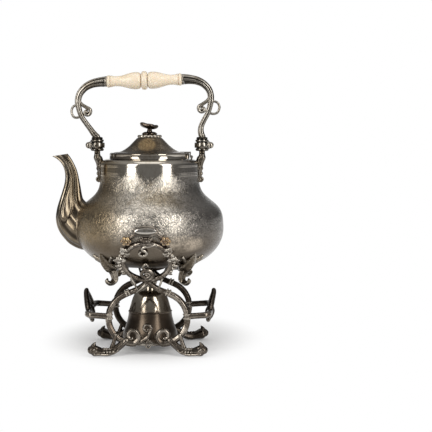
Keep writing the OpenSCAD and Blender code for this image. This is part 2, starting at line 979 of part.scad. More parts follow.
module side_handle() {
  half = frame_y;
  dark_silver()
    union() {
      strand(smooth([
        [54, -half, 53.8, 3.7], [70, -half, 55.2, 3.6], [79.5, -half + 1, 56, 3.7],
        [83.4, -half + 8, 56.4, 3.7], [84.2, -30, 55.6, 3.7], [84.6, 0, 54.6, 3.8], [84.2, 30, 55.6, 3.7],
        [83.4, half - 8, 56.4, 3.7], [79.5, half - 1, 56, 3.7], [70, half, 55.2, 3.6], [54, half, 53.8, 3.7]
      ], 4), ref = [0, 0, 1], sides = 8);
      for (side = [-1, 1])
        strand(smooth([
          [84, side * 28, 56, 3.2], [86, side * 23, 64, 3.3], [88, side * 14, 72.4, 3.2],
          [90, side * 4, 80, 2.8], [handle_x + 7, 0, 85.6, 1]
        ], 3), ref = [1, 0, 0], sides = 8);
      strand(smooth([[85.6, 0, 61.8, 5], [84.4, 0, 54, 9.6], [82.6, 0, 45, 7.6], [81, 0, 36.6, 1]], 3),
             ref = [1, 0, 0], depth = 0.46);
    }
}

module side_handle_left() {
  mirror([1, 0, 0])
    side_handle();
}

module side_handle_right() {
  side_handle();
}

// Beaded collars where the handle bars meet the scrolls, and on the shoulders of the scrolls
module bar_collars() {
  dark_silver()
    for (back = [false, true])
      at_frame(back)
        both_sides()
          union() {
            translate([scroll_x + scroll_r - 0.4, 0, 53.6])
              cylinder(r = 5.8, h = 8, center = true);
            translate([27.6, 0, 86.4])
              rotate([0, -68, 0])
                cylinder(r = 5.4, h = 6.4, center = true);
          }
}

// Lamp ring, and its rods: level under the lamp's foot, then from a small ball up to the scrolls
module lamp_ring() {
  rod_r = 1.6;
  rod_z = lamp_ring_z + lamp_ring_h / 2;
  rod_x = 19;
  bend_y = 42;
  rise = atan2(5, frame_y - bend_y);
  dark_silver()
    union() {
      difference() {
        translate([0, 0, lamp_ring_z])
          cylinder(r = lamp_r - 2, h = lamp_ring_h);
        translate([0, 0, lamp_ring_z - 1])
          cylinder(r = lamp_r - 9, h = lamp_ring_h + 2);
      }
      for (turn = [0, 180])
        rotate([0, 0, turn])
          both_sides()
            union() {
              translate([rod_x, 26, rod_z])
                rotate([-90, 0, 0])
                  cylinder(r = rod_r, h = bend_y - 26);
              translate([rod_x, bend_y, rod_z])
                sphere(r = rod_r + 0.5);
              translate([rod_x, bend_y, rod_z])
                rotate([rise - 90, 0, 0])
                  cylinder(r = rod_r, h = (frame_y - bend_y) / cos(rise));
            }
    }
}

// Spirit lamp

lamp_outline = [
  [39, 14.6], [39.4, 17], [39, 20], [37.4, 26], [34.4, 34], [31.6, 44], [30.6, 52], [31.2, 53], [30.4, 54],
  [28.6, 62], [25.4, 70], [20.6, 76.4], [14.6, 80.4], [9.4, 83]
];

module lamp_reservoir() {
  silver()
    rotate_extrude()
      polygon(concat(
        [[0, 14.6]],
        [for (p = lamp_outline) [p[0] * lamp_r / 39.4, p[1]]],
        [[7.6, 83], [7.6, 81.4]],
        [for (k = [len(lamp_outline) - 2 : -1 : 1])
          [(lamp_outline[k][0] - 1.4) * lamp_r / 39.4, lamp_outline[k][1] - 0.8]],
        [[0, 16.2]]
      ));
}

module lamp_foot() {
  silver()
    rotate_extrude()
      polygon([
        [lamp_r - 6, 14.6], [lamp_r - 6, lamp_foot_z], [lamp_r - 1.4, lamp_foot_z], [lamp_r - 0.6, 14.6]
      ]);
}

module lamp_collar() {
  silver()
    rotate_extrude()
      polygon([
        [6.6, 83], [9.4, 83], [9, 86], [8.4, 90], [9.8, lamp_top_z - 2], [9.8, lamp_top_z], [7.6, lamp_top_z],
        [6.6, 90]
      ]);
}

module wick_tube() {
  silver()
    rotate_extrude()
      polygon([
        [3.2, 78], [4.2, 78], [4.2, 84.6], [6.6, 84.6], [6.6, 86.2], [4.2, 86.2], [4.2, 92], [3.2, 92]
      ]);
}

module wick() {
  color([0.85, 0.82, 0.74])
    translate([0, 0, 76])
      cylinder(r = 3.2, h = 17.4);
}

kettle_body();
kettle_bottom();
mouth_ring();
spout();
spout_root();
spout_strainer();
kettle_foot(45);  // kettle_foot_1
kettle_foot(135);  // kettle_foot_2
kettle_foot(225);  // kettle_foot_3
kettle_foot(315);  // kettle_foot_4
left_lug();
right_lug();
lid_knuckles();
lid_pin();
lid_rim();
lid_dome();
lid_collar();
lid_calyx();
finial();
finial_nut();
lid_leaf();
bail_arm_left();
bail_arm_right();
bail_knots_left();
bail_knots_right();
pivot_pin_left();
pivot_pin_right();
grip_rod();
grip_ferrules();
grip_barrel_left();
grip_barrel_right();
grip_bead();
front_scrolls();
back_scrolls();
front_boss();
back_boss();
front_cradle();
back_cradle();
front_vines();
back_vines();
front_grapes();
back_grapes();
front_palmette();
back_palmette();
front_tendrils();
back_tendrils();
stand_foot_1();
stand_foot_2();
stand_foot_3();
stand_foot_4();
side_handle_left();
side_handle_right();
bar_collars();
lamp_ring();
lamp_reservoir();
lamp_foot();
lamp_collar();
wick_tube();
wick();
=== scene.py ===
# %% [markdown]
# # A spirit kettle on its stand
# A silver-plated kettle rests in a cast scroll stand, over a small spirit lamp. The construction comes
# ready made, as a frame of named solids. This lesson gives each of them the surface of the real thing:
# raised and engraved sheet for the kettle, turned bone-coloured pieces for the grip, and castings with
# soft, worn edges for the stand. Sizes are in millimetres until a piece is finished.

# %% Load the frame
import json
import math

import bmesh
import bpy
from mathutils import Matrix, Vector, noise


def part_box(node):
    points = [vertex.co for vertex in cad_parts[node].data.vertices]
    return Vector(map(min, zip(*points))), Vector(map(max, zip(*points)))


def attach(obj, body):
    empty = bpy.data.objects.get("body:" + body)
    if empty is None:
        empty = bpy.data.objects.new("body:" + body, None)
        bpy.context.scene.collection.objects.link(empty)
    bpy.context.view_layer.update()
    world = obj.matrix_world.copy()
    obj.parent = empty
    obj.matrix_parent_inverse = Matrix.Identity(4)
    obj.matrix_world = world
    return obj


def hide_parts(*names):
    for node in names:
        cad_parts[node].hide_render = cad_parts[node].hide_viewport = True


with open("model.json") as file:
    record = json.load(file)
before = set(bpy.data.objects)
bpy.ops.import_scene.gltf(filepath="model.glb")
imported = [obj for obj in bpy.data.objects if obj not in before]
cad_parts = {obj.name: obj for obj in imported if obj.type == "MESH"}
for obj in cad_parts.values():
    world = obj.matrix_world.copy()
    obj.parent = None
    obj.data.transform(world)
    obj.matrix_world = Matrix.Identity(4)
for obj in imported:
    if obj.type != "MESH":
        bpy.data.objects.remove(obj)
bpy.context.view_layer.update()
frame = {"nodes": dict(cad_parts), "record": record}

# %% [markdown]
# ## Camera
# The photograph was taken level with the lid, and looks down a little. One of its pixels covers 1.4 mm at
# the kettle's axis, so the camera's place is counted in pixels and turned into metres. The lens is a long
# one, so the back feet are hardly smaller than the front ones.

# %% Camera
MM = 0.001
PIXEL_MM = 1.4
CAMERA_COLUMN = 66.25
CAMERA_ROW_HEIGHT = 223.5
CAMERA_DISTANCE = 1250
CAMERA_PITCH = 4.12
SENSOR_MM = 36
LENS_MM = 104.2

view = bpy.data.cameras.new("view")
view.sensor_width = SENSOR_MM
view.lens = LENS_MM
camera = bpy.data.objects.new("camera", view)
camera.location = Vector((CAMERA_COLUMN, -CAMERA_DISTANCE, CAMERA_ROW_HEIGHT)) * PIXEL_MM * MM
camera.rotation_euler = (math.radians(90 - CAMERA_PITCH), 0, 0)
bpy.context.scene.collection.objects.link(camera)
bpy.context.scene.camera = camera
print("camera at", [round(value, 3) for value in camera.location])

# %% [markdown]
# ## Node helpers
# Each material is a small tree of nodes. These helpers add one node at a time, so that a recipe reads
# like a recipe: a cloud of noise, a ramp on it, and a mix of two colours by that ramp.


# %% Node helpers
def add(tree, kind, inputs=None, **settings):
    made = tree.nodes.new(kind)
    for name, value in settings.items():
        setattr(made, name, value)
    for name, value in (inputs or {}).items():
        if isinstance(value, bpy.types.NodeSocket):
            tree.links.new(value, made.inputs[name])
        else:
            made.inputs[name].default_value = value
    return made


def calc(tree, operation, *values):
    return add(tree, "ShaderNodeMath", dict(enumerate(values)), operation=operation).outputs[0]


def ramp(tree, value, low, high):
    """0 below low and 1 above high; the other way round if low is above high."""
    return add(
        tree,
        "ShaderNodeMapRange",
        {0: value, 1: low, 2: high, 3: 0.0, 4: 1.0},
        interpolation_type="SMOOTHSTEP",
    ).outputs[0]


def mixed(tree, share, first, second):
    return add(tree, "ShaderNodeMix", {0: share, 6: first, 7: second}, data_type="RGBA").outputs[2]


def cloud(tree, place, scale, detail, roughness=0.5, distortion=0.0):
    values = {"Vector": place, "Scale": scale, "Detail": detail, "Roughness": roughness}
    return add(tree, "ShaderNodeTexNoise", {**values, "Distortion": distortion}).outputs[0]


def new_material(name):
    material = bpy.data.materials.new(name)
    material.use_nodes = True
    tree = material.node_tree
    return material, tree, tree.nodes["Principled BSDF"]


# %% [markdown]
# ## Engraving
# The shoulder and the belly are cut all over with leafy whorls on a stippled ground. The pattern is laid
# on the unrolled wall: the angle round the kettle gives one direction and the height the other. A loose
# grid of points gives each whorl its centre, and the angle and distance from that centre make the line
# of the whorl and the five-lobed leaf round it.

# %% Engraving
# heights where the engraving begins, is full, begins to fade and ends
BODY_ENGRAVED = (0.124, 0.166, 0.225, 0.253)
LID_ENGRAVED = (0.276, 0.279, 0.292, 0.2955)
UNROLLED_AT = 0.088
LARGE_WHORLS, SMALL_WHORLS = 66.0, 118.0
WHORL_LINES = 13.0
WANDERING = 0.008
STIPPLE_SCALE = 820.0


def whorls(tree, place, scale, thin):
    """Lines of the whorls and of the leaves round them: 1 on a line."""
    cells = add(
        tree,
        "ShaderNodeTexVoronoi",
        {"Vector": place, "Scale": scale, "Randomness": 0.8},
        voronoi_dimensions="2D",
    )
    away = add(tree, "ShaderNodeVectorMath", {0: place, 1: cells.outputs["Position"]}, operation="SUBTRACT")
    aside = add(tree, "ShaderNodeSeparateXYZ", {0: away.outputs[0]}).outputs
    angle = calc(tree, "ARCTAN2", aside["Y"], aside["X"])
    reach = cells.outputs["Distance"]
    whorl = calc(tree, "SINE", calc(tree, "ADD", angle, calc(tree, "MULTIPLY", reach, WHORL_LINES)))
    whorl_line = ramp(tree, calc(tree, "ABSOLUTE", whorl), 0.45 * thin, 0.08)
    lobes = calc(tree, "COSINE", calc(tree, "MULTIPLY", angle, 5.0))
    edge = calc(tree, "ADD", calc(tree, "MULTIPLY", lobes, 0.08), 0.42)
    leaf_line = ramp(tree, calc(tree, "ABSOLUTE", calc(tree, "SUBTRACT", reach, edge)), 0.06 * thin, 0.012)
    return calc(tree, "MAXIMUM", whorl_line, leaf_line)


def engraving(tree, place, heights):
    """The drawn lines, the stippled ground, and how much of them this place carries, each 0 to 1."""
    x, y, z = add(tree, "ShaderNodeSeparateXYZ", {0: place}).outputs
    turn = calc(tree, "ARCTAN2", x, calc(tree, "MULTIPLY", y, -1.0))
    flat = add(tree, "ShaderNodeCombineXYZ", {0: calc(tree, "MULTIPLY", turn, UNROLLED_AT), 1: z}).outputs[0]
    drift = add(tree, "ShaderNodeTexNoise", {"Vector": flat, "Scale": 90.0, "Detail": 2.0}).outputs["Color"]
    drift = add(tree, "ShaderNodeVectorMath", {0: drift, 1: (0.5, 0.5, 0.5)}, operation="SUBTRACT").outputs[0]
    drift = add(tree, "ShaderNodeVectorMath", {0: drift, "Scale": WANDERING}, operation="SCALE").outputs[0]
    wandering = add(tree, "ShaderNodeVectorMath", {0: flat, 1: drift}, operation="ADD").outputs[0]
    large = whorls(tree, wandering, LARGE_WHORLS, 1.0)
    small = whorls(tree, wandering, SMALL_WHORLS, 1.2)
    lines = calc(tree, "MAXIMUM", large, calc(tree, "MULTIPLY", small, 0.6))
    dots = add(
        tree,
        "ShaderNodeTexVoronoi",
        {"Vector": flat, "Scale": STIPPLE_SCALE, "Randomness": 1.0},
        voronoi_dimensions="2D",
    ).outputs["Distance"]
    stipple = ramp(tree, dots, 0.1, 0.6)
    low, full, fading, high = heights
    inside = calc(tree, "MULTIPLY", ramp(tree, z, low, full), ramp(tree, z, high, fading))
    return lines, stipple, inside


# %% [markdown]
# ## Patches on the silver
# Two places differ from the metal round them: a gilt oval on the front of the lid, and a painted
# highlight low on the body. Both are an oval in the front view, with a soft edge. A colour can also grow
# along an axis of the object, as the gold film does towards the spout and the soot towards the flame, and
# as painted shade does on the sides, on the underside and near the floor.

# %% Patches and tints
RAGGED_EDGE = 0.035


def oval(tree, axes, shape, outer=1.3, inner=0.5):
    """1 inside an oval on the front of the object, 0 outside it, with a soft edge."""
    x, z, half_width, half_height = shape
    across = calc(tree, "DIVIDE", calc(tree, "SUBTRACT", axes["x"], x), half_width)
    up = calc(tree, "DIVIDE", calc(tree, "SUBTRACT", axes["z"], z), half_height)
    away = calc(tree, "ADD", calc(tree, "MULTIPLY", across, across), calc(tree, "MULTIPLY", up, up))
    return calc(tree, "MULTIPLY", ramp(tree, away, outer, inner), ramp(tree, axes["y"], 0.0, -0.004))


def with_badge(tree, axes, colour, badge):
    """A gilt oval on the front, filled with fine whorls."""
    inside, gold = oval(tree, axes, badge[:4]), badge[4]
    front = add(tree, "ShaderNodeCombineXYZ", {0: axes["x"], 1: axes["z"]}).outputs[0]
    drawn = whorls(tree, front, 170.0, 1.6)
    leafy = mixed(tree, drawn, gold, (gold[0] * 0.4, gold[1] * 0.34, gold[2] * 0.3, 1))
    return mixed(tree, calc(tree, "MULTIPLY", inside, 0.9), colour, leafy)


def with_painted_highlight(tree, axes, veil, colour, highlight_patch):
    """A painted highlight on the front: a bright colour where the film is thin."""
    patch = oval(tree, axes, highlight_patch[:4], 1.6, 0.0)
    return mixed(tree, calc(tree, "MULTIPLY", patch, ramp(tree, veil, 0.36, 0.66)), colour, highlight_patch[4])


def tint(axis, start, end, share, colour, rough=0.0):
    """Films and painted shade both grow this way along an axis of the object, from nothing at start to their full
    share at end.
    """
    return {"axis": axis, "start": start, "end": end, "share": share, "colour": colour, "rough": rough}


def with_tints(tree, axes, veil, tints, colour, roughness):
    """Lays each tint over the metal. Its edge is as ragged as the film's."""
    for layer in tints:
        ragged = calc(tree, "MULTIPLY", calc(tree, "SUBTRACT", veil, 0.5), RAGGED_EDGE)
        spot = calc(tree, "ADD", axes[layer["axis"]], ragged)
        share = calc(tree, "MULTIPLY", ramp(tree, spot, layer["start"], layer["end"]), layer["share"])
        colour = mixed(tree, share, colour, layer["colour"])
        if layer["rough"]:
            roughness = calc(tree, "ADD", roughness, calc(tree, "MULTIPLY", share, layer["rough"]))
    return colour, roughness


# %% [markdown]
# ## Silver plate
# Old plate is a mirror under a thin brown film. The film lies in clouds, is thickest where no cloth
# reaches, and turns gold before it turns brown. The edges that a cloth does reach stay bright. Each finish
# starts from a bright and a filmed colour, takes its tints and patches, and gets painted shade on the faces
# that look down. It ends with the dark of its hollows, which comes from the shape itself and from the
# depth that the modelling has noted.

# %% Silver plate
POLISHED = (0.66, 0.61, 0.53, 1)
UNDERSIDE_SHADE = (0.05, 0.039, 0.029, 1)
WORN_EDGE = (0.505, 0.545)
CLOUD_EDGE = 0.12
WAVINESS = 0.02


def with_engraving(tree, place, heights, hollow, metal):
    """Cuts the whorls in: darker lines, a ground that stands between them, a little less shine."""
    colour, roughness, normal = metal
    drawn, stipple, inside = engraving(tree, place, heights)
    groove = calc(tree, "MULTIPLY", inside, drawn)
    ground = calc(tree, "SUBTRACT", calc(tree, "MULTIPLY", stipple, 0.4), calc(tree, "MULTIPLY", drawn, 0.8))
    colour = mixed(tree, calc(tree, "MULTIPLY", groove, 0.36), colour, hollow)
    height = calc(tree, "MULTIPLY", ground, inside)
    relief = {"Height": height, "Strength": 0.43, "Distance": 0.0005, "Normal": normal}
    normal = add(tree, "ShaderNodeBump", relief).outputs[0]
    roughness = calc(tree, "ADD", roughness, calc(tree, "MULTIPLY", inside, 0.03))
    return colour, roughness, normal


def silver(name, bright, film, hollow, rough=(0.15, 0.3), cloud_scale=16.0, wear=0.5, tints=(), cut=None,
           grain=0.22, edge=(0.498, 0.462), badge=None, polish=0.0, under=0.75, highlight_patch=None):
    """Silver plate: bright metal, the film over it, painted shade on faces that look down, and the dark of its
    hollows.
    """
    material, tree, shader = new_material(name)
    where = add(tree, "ShaderNodeTexCoord").outputs
    place = where["Object"]
    axes = dict(zip("xyz", add(tree, "ShaderNodeSeparateXYZ", {0: place}).outputs))
    clouds = cloud(tree, place, cloud_scale, 4.0, 0.55, 0.4)
    specks = cloud(tree, place, cloud_scale * 14, 3.0, 0.6)
    veil = calc(tree, "ADD", clouds, calc(tree, "MULTIPLY", calc(tree, "SUBTRACT", specks, 0.5), grain))
    tarnish = ramp(tree, veil, wear - CLOUD_EDGE, wear + CLOUD_EDGE)
    colour = mixed(tree, tarnish, bright, film)
    roughness = calc(tree, "ADD", rough[0], calc(tree, "MULTIPLY", tarnish, rough[1] - rough[0]))
    colour, roughness = with_tints(tree, axes, veil, tints, colour, roughness)
    # a painted highlight patch on the front
    if highlight_patch:
        colour = with_painted_highlight(tree, axes, veil, colour, highlight_patch)
    # painted shade: faces that look down are darkened by the share given in under
    facing_up = add(tree, "ShaderNodeSeparateXYZ", {0: where["Normal"]}).outputs["Z"]
    shaded_below = calc(tree, "MULTIPLY", ramp(tree, facing_up, -0.02, -0.7), under)
    colour = mixed(tree, shaded_below, colour, UNDERSIDE_SHADE)
    if badge:
        colour = with_badge(tree, axes, colour, badge)
    deep = add(tree, "ShaderNodeAttribute", attribute_name="hollow").outputs["Fac"]
    if edge:
        point = add(tree, "ShaderNodeNewGeometry").outputs["Pointiness"]
        deep = calc(tree, "MAXIMUM", deep, ramp(tree, point, *edge))
        worn = calc(tree, "MULTIPLY", ramp(tree, point, *WORN_EDGE), polish)
        colour = mixed(tree, worn, colour, POLISHED)
    colour = mixed(tree, deep, colour, hollow)
    waves = cloud(tree, place, 70.0, 2.0, 0.5)
    normal = add(tree, "ShaderNodeBump", {"Height": waves, "Strength": WAVINESS, "Distance": 0.002}).outputs[0]
    if cut:
        colour, roughness, normal = with_engraving(tree, place, cut, hollow, (colour, roughness, normal))
    tree.links.new(colour, shader.inputs["Base Color"])
    tree.links.new(roughness, shader.inputs["Roughness"])
    tree.links.new(normal, shader.inputs["Normal"])
    shader.inputs["Metallic"].default_value = 1.0
    return material


# %% [markdown]
# ## Finishes of the sheet pieces
# The kettle, its lid and the lamp are spun or raised from sheet and have been polished, so they are
# nearly mirrors. The body has a gold film towards the spout with painted shade over that side, painted
# shade in blue-grey over the side towards the hinge, and painted shade on its lower belly. The sides of the
# lid band are painted dark as shade. The kettle's bottom is sooted and painted dark as shade, the lamp's
# lower bell is painted dark as shade, and a little soot lies at the lamp's top.

# %% Finishes of the sheet pieces
WARM_GREY = (0.52, 0.48, 0.42, 1)
FILM_BROWN = (0.27, 0.22, 0.15, 1)
GOLD_FILM_AND_SHADE = (0.34, 0.245, 0.12, 1)
LOWER_BELLY_SHADE = (0.09, 0.067, 0.044, 1)
BLUE_GREY_SHADE = (0.22, 0.205, 0.19, 1)
BAND_SIDE_SHADE = (0.1, 0.08, 0.056, 1)
LOWER_LAMP_SHADE = (0.065, 0.047, 0.033, 1)
SOOT_AND_SHADE = (0.04, 0.032, 0.024, 1)
DARK_HOLLOW = (0.02, 0.016, 0.011, 1)
# a painted highlight low on the belly
PAINTED_HIGHLIGHT_PATCH = (0.045, 0.1555, 0.034, 0.011, (0.66, 0.56, 0.44, 1))
GILT_OVAL = (-0.0025, 0.2866, 0.0125, 0.0085, (0.42, 0.31, 0.17, 1))

body_silver = silver(
    "engraved plate", WARM_GREY, FILM_BROWN, DARK_HOLLOW, rough=(0.12, 0.19), edge=None, cut=BODY_ENGRAVED,
    wear=0.6, under=0.15, highlight_patch=PAINTED_HIGHLIGHT_PATCH,
    tints=(
        # gold film with painted shade on the spout's side, painted blue-grey shade on the other side, painted shade
        # on the lower belly
        tint("x", -0.02, -0.07, 0.8, GOLD_FILM_AND_SHADE),
        tint("x", 0.024, 0.066, 0.75, BLUE_GREY_SHADE),
        tint("z", 0.184, 0.144, 0.85, LOWER_BELLY_SHADE, 0.03),
        tint("z", 0.14, 0.12, 0.93, UNDERSIDE_SHADE, 0.3),
    ),
)
plain_silver = silver(
    "plain plate", WARM_GREY, FILM_BROWN, DARK_HOLLOW, rough=(0.09, 0.18), edge=None, wear=0.52,
)
lid_silver = silver(
    "lid plate", (0.30, 0.25, 0.19, 1), (0.11, 0.085, 0.056, 1), DARK_HOLLOW, rough=(0.16, 0.26), edge=None,
    wear=0.47, cut=LID_ENGRAVED, badge=GILT_OVAL,
)
band_silver = silver(
    "lid band plate", (0.54, 0.50, 0.44, 1), (0.25, 0.2, 0.14, 1), DARK_HOLLOW, rough=(0.08, 0.16), edge=None,
    wear=0.52,
    # painted shade on the two sides of the band
    tints=(tint("x", -0.022, -0.046, 0.72, BAND_SIDE_SHADE, 0.04), tint("x", 0.03, 0.052, 0.72, BAND_SIDE_SHADE, 0.04)),
)
spout_silver = silver(
    "spout plate", (0.42, 0.37, 0.295, 1), (0.2, 0.16, 0.11, 1), DARK_HOLLOW, rough=(0.13, 0.24), edge=None,
    wear=0.5,
)
lamp_silver = silver(
    "lamp plate", (0.42, 0.37, 0.30, 1), (0.22, 0.17, 0.12, 1), DARK_HOLLOW, rough=(0.14, 0.26), edge=None,
    wear=0.48,
    # painted shade on the lower bell, and a little soot at the top
    tints=(tint("z", 0.0545, 0.0515, 0.93, LOWER_LAMP_SHADE, 0.16), tint("z", 0.078, 0.09, 0.4, SOOT_AND_SHADE, 0.1)),
)
# the kettle's bottom: soot, and painted shade under it
soot_and_shade_silver = silver(
    "soot and shade plate", (0.09, 0.067, 0.045, 1), SOOT_AND_SHADE, DARK_HOLLOW, rough=(0.2, 0.32), edge=None, under=0.85,
)
print("sheet finishes", len(bpy.data.materials))

# %% [markdown]
# ## Finishes of the castings
# A casting keeps its film in every hollow and shows bright metal on every ridge, which the pointiness of
# its surface gives. The back of the stand is painted nearly black, as shade. The front leaves are a
# brighter copy of the casting, a painted highlight, the boss at the front is polished, and the grapes keep
# some of their gilding. The front castings get painted shade near the floor.

# %% Finishes of the castings
SHADED_RAIL = (0.055, 0.043, 0.034, 1)

arm_silver = silver(
    "handle casting", (0.52, 0.48, 0.42, 1), (0.30, 0.26, 0.205, 1), DARK_HOLLOW, cloud_scale=40.0, wear=0.54,
)
cast_silver = silver(
    "cast plate", (0.3, 0.26, 0.21, 1), (0.13, 0.105, 0.075, 1), DARK_HOLLOW, cloud_scale=40.0, wear=0.48,
    polish=0.5,
)
knop_bronze = silver(
    "knop casting", (0.16, 0.13, 0.105, 1), (0.06, 0.045, 0.034, 1), DARK_HOLLOW, cloud_scale=60.0,
)
front_cast = silver(
    "front casting", (0.40, 0.35, 0.295, 1), (0.085, 0.066, 0.05, 1), DARK_HOLLOW, rough=(0.1, 0.22),
    cloud_scale=56.0, wear=0.46, grain=0.45, polish=0.55,
    # painted shade near the floor
    tints=(tint("z", 0.036, 0.012, 0.6, UNDERSIDE_SHADE, 0.05),),
)
# the back of the stand, painted dark as shade
shaded_back_cast = silver(
    "back casting in painted shade", (0.085, 0.07, 0.057, 1), SOOT_AND_SHADE, (0.01, 0.008, 0.006, 1), rough=(0.22, 0.42),
    cloud_scale=34.0, wear=0.46,
)
rail_cast = silver(
    "rail casting", (0.29, 0.25, 0.205, 1), (0.11, 0.088, 0.07, 1), DARK_HOLLOW, rough=(0.16, 0.32),
    cloud_scale=34.0, wear=0.48, polish=0.5, tints=(tint("y", -0.052, -0.036, 0.9, SHADED_RAIL, 0.1),),
)
# a brighter copy of the front casting: painted highlight on the front leaves
lit_leaf_cast = silver(
    "front leaves with painted highlight", (0.64, 0.59, 0.52, 1), (0.19, 0.15, 0.105, 1), DARK_HOLLOW, rough=(0.09, 0.2),
    cloud_scale=70.0, wear=0.53, grain=0.5, polish=0.75,
)
boss_silver = silver(
    "polished boss", (0.64, 0.6, 0.54, 1), (0.34, 0.3, 0.245, 1), DARK_HOLLOW, rough=(0.08, 0.16),
    cloud_scale=60.0, wear=0.58, polish=0.4,
)
gilt = silver(
    "worn gilding", (0.56, 0.40, 0.19, 1), (0.17, 0.082, 0.027, 1), (0.02, 0.01, 0.004, 1), rough=(0.1, 0.2),
    cloud_scale=130.0, wear=0.5, grain=0.5, polish=0.2,
)
print("silver finishes", len(bpy.data.materials))

# %% [markdown]
# ## Grip and wick
# The grip is turned and polished, and yellowed with age. It is faintly grained along its length, and the
# hand has left the grooves darker than the crowns. The wick is plaited cotton.


# %% Grip and wick materials
def old_ivory():
    material, tree, shader = new_material("turned grip")
    place = add(tree, "ShaderNodeTexCoord").outputs["Object"]
    along = add(tree, "ShaderNodeMapping", {"Vector": place, "Scale": (0.25, 1.0, 1.0)}).outputs[0]
    streaks = cloud(tree, along, 180.0, 3.0, 0.6, 0.3)
    clouds = cloud(tree, place, 30.0, 2.0)
    colour = mixed(tree, ramp(tree, streaks, 0.3, 0.75), (0.71, 0.6, 0.45, 1), (0.75, 0.65, 0.51, 1))
    colour = mixed(tree, ramp(tree, clouds, 0.45, 0.8), colour, (0.7, 0.57, 0.4, 1))
    point = add(tree, "ShaderNodeNewGeometry").outputs["Pointiness"]
    colour = mixed(tree, ramp(tree, point, 0.49, 0.45), colour, (0.42, 0.25, 0.1, 1))
    tree.links.new(colour, shader.inputs["Base Color"])
    bump = add(tree, "ShaderNodeBump", {"Height": streaks, "Strength": 0.02, "Distance": 0.001})
    tree.links.new(bump.outputs[0], shader.inputs["Normal"])
    shader.inputs["Roughness"].default_value = 0.36
    shader.inputs["Subsurface Weight"].default_value = 0.12
    shader.inputs["Subsurface Radius"].default_value = (0.004, 0.0025, 0.0012)
    shader.inputs["Coat Weight"].default_value = 0.3
    shader.inputs["Coat Roughness"].default_value = 0.15
    return material


def plaited_cotton():
    material, tree, shader = new_material("plaited cotton")
    place = add(tree, "ShaderNodeTexCoord").outputs["Object"]
    weave = add(tree, "ShaderNodeTexWave", {"Vector": place, "Scale": 260.0, "Distortion": 3.0})
    colour = mixed(tree, weave.outputs["Fac"], (0.5, 0.43, 0.32, 1), (0.8, 0.75, 0.64, 1))
    tree.links.new(colour, shader.inputs["Base Color"])
    bump = add(tree, "ShaderNodeBump", {"Height": weave.outputs["Fac"], "Strength": 0.6, "Distance": 0.0006})
    tree.links.new(bump.outputs[0], shader.inputs["Normal"])
    shader.inputs["Roughness"].default_value = 0.9
    return material


grip_ivory = old_ivory()
wick_cotton = plaited_cotton()

# %% [markdown]
# ## Shaping helpers
# Three ways of making cover the whole object. Turned pieces are an outline spun round an axis. Rods and
# scrolls are a grid that is rolled up and laid along a smooth curve. Castings are several such rods,
# melted into one skin with a voxel remesh and smoothed, which rounds the joins as casting does. Each of
# them starts from a line, so the lines come first.


# %% Lines
def smooth(points, steps):
    """The smooth curve through the points, with that many steps from each to the next."""
    points = [Vector(p) for p in points]
    last = len(points) - 1
    curve = []
    for i in range(last):
        a, b, c, d = points[max(i - 1, 0)], points[i], points[i + 1], points[min(i + 2, last)]
        for k in range(steps):
            t = k / steps
            bend, twist = 2 * a - 5 * b + 4 * c - d, 3 * b - a - 3 * c + d
            curve.append(0.5 * (2 * b + (c - a) * t + bend * t * t + twist * t ** 3))
    return curve + [points[last]]


def arc(cx, cz, r0, r1, a0, a1, t0, t1, steps):
    """An arc in the XZ plane: centre, start and end radius, angle and thickness."""
    path = []
    for k in range(steps + 1):
        s = k / steps
        r, a = r0 + (r1 - r0) * s, math.radians(a0 + (a1 - a0) * s)
        path.append(Vector((cx + r * math.cos(a), 0, cz + r * math.sin(a), t0 + (t1 - t0) * s)))
    return path


def curled(cx, cz, reach, shrink, start, step, thick, thinning, count):
    """A curl in the XZ plane that shrinks and thins by the same amount from point to point."""
    path = []
    for k in range(count):
        r, a = reach - shrink * k, math.radians(start + step * k)
        path.append(Vector((cx + r * math.cos(a), 0, cz + r * math.sin(a), thick - thinning * k)))
    return path


def rotation(degrees, axis):
    return Matrix.Rotation(math.radians(degrees), 4, axis)


IN_PLACE = Matrix.Identity(4)
MIRROR_X = Matrix.Scale(-1, 4, (1, 0, 0))
MIRROR_Z = Matrix.Scale(-1, 4, (0, 0, 1))

# %% [markdown]
# A turned piece is spun from an outline of radius and height. A rod follows a line of points whose fourth
# number is its radius, and a flute ripples it.


# %% Turned pieces and rods
def turned(outline, segments, closed=True):
    """An outline of (radius, height), spun round Z."""
    bm = bmesh.new()
    verts = [bm.verts.new((r, 0, z)) for r, z in outline]
    pairs = list(zip(verts, verts[1:] + verts[:1])) if closed else list(zip(verts, verts[1:]))
    edges = [bm.edges.new(pair) for pair in pairs]
    bmesh.ops.spin(
        bm, geom=verts + edges, cent=(0, 0, 0), axis=(0, 0, 1), angle=math.tau, steps=segments, use_merge=True
    )
    bmesh.ops.remove_doubles(bm, verts=bm.verts, dist=0.001)
    return bm


HOLLOW_GAIN = 9.0
DOME_STEPS = 4
THINNEST = 0.02


def lobed(count, height):
    """A flute of rounded lobes."""
    return lambda a, s: 1 + height * math.cos(count * a)


def dome(tip, before):
    """The points that round off the end of a path of (x, y, z, radius)."""
    away = (tip.xyz - before.xyz).normalized()
    made = []
    for k in range(1, DOME_STEPS + 1):
        a = 0.5 * math.pi * k / DOME_STEPS
        spot = tip.xyz + away * tip.w * math.sin(a)
        made.append(Vector((*spot, max(tip.w * math.cos(a), THINNEST))))
    return made


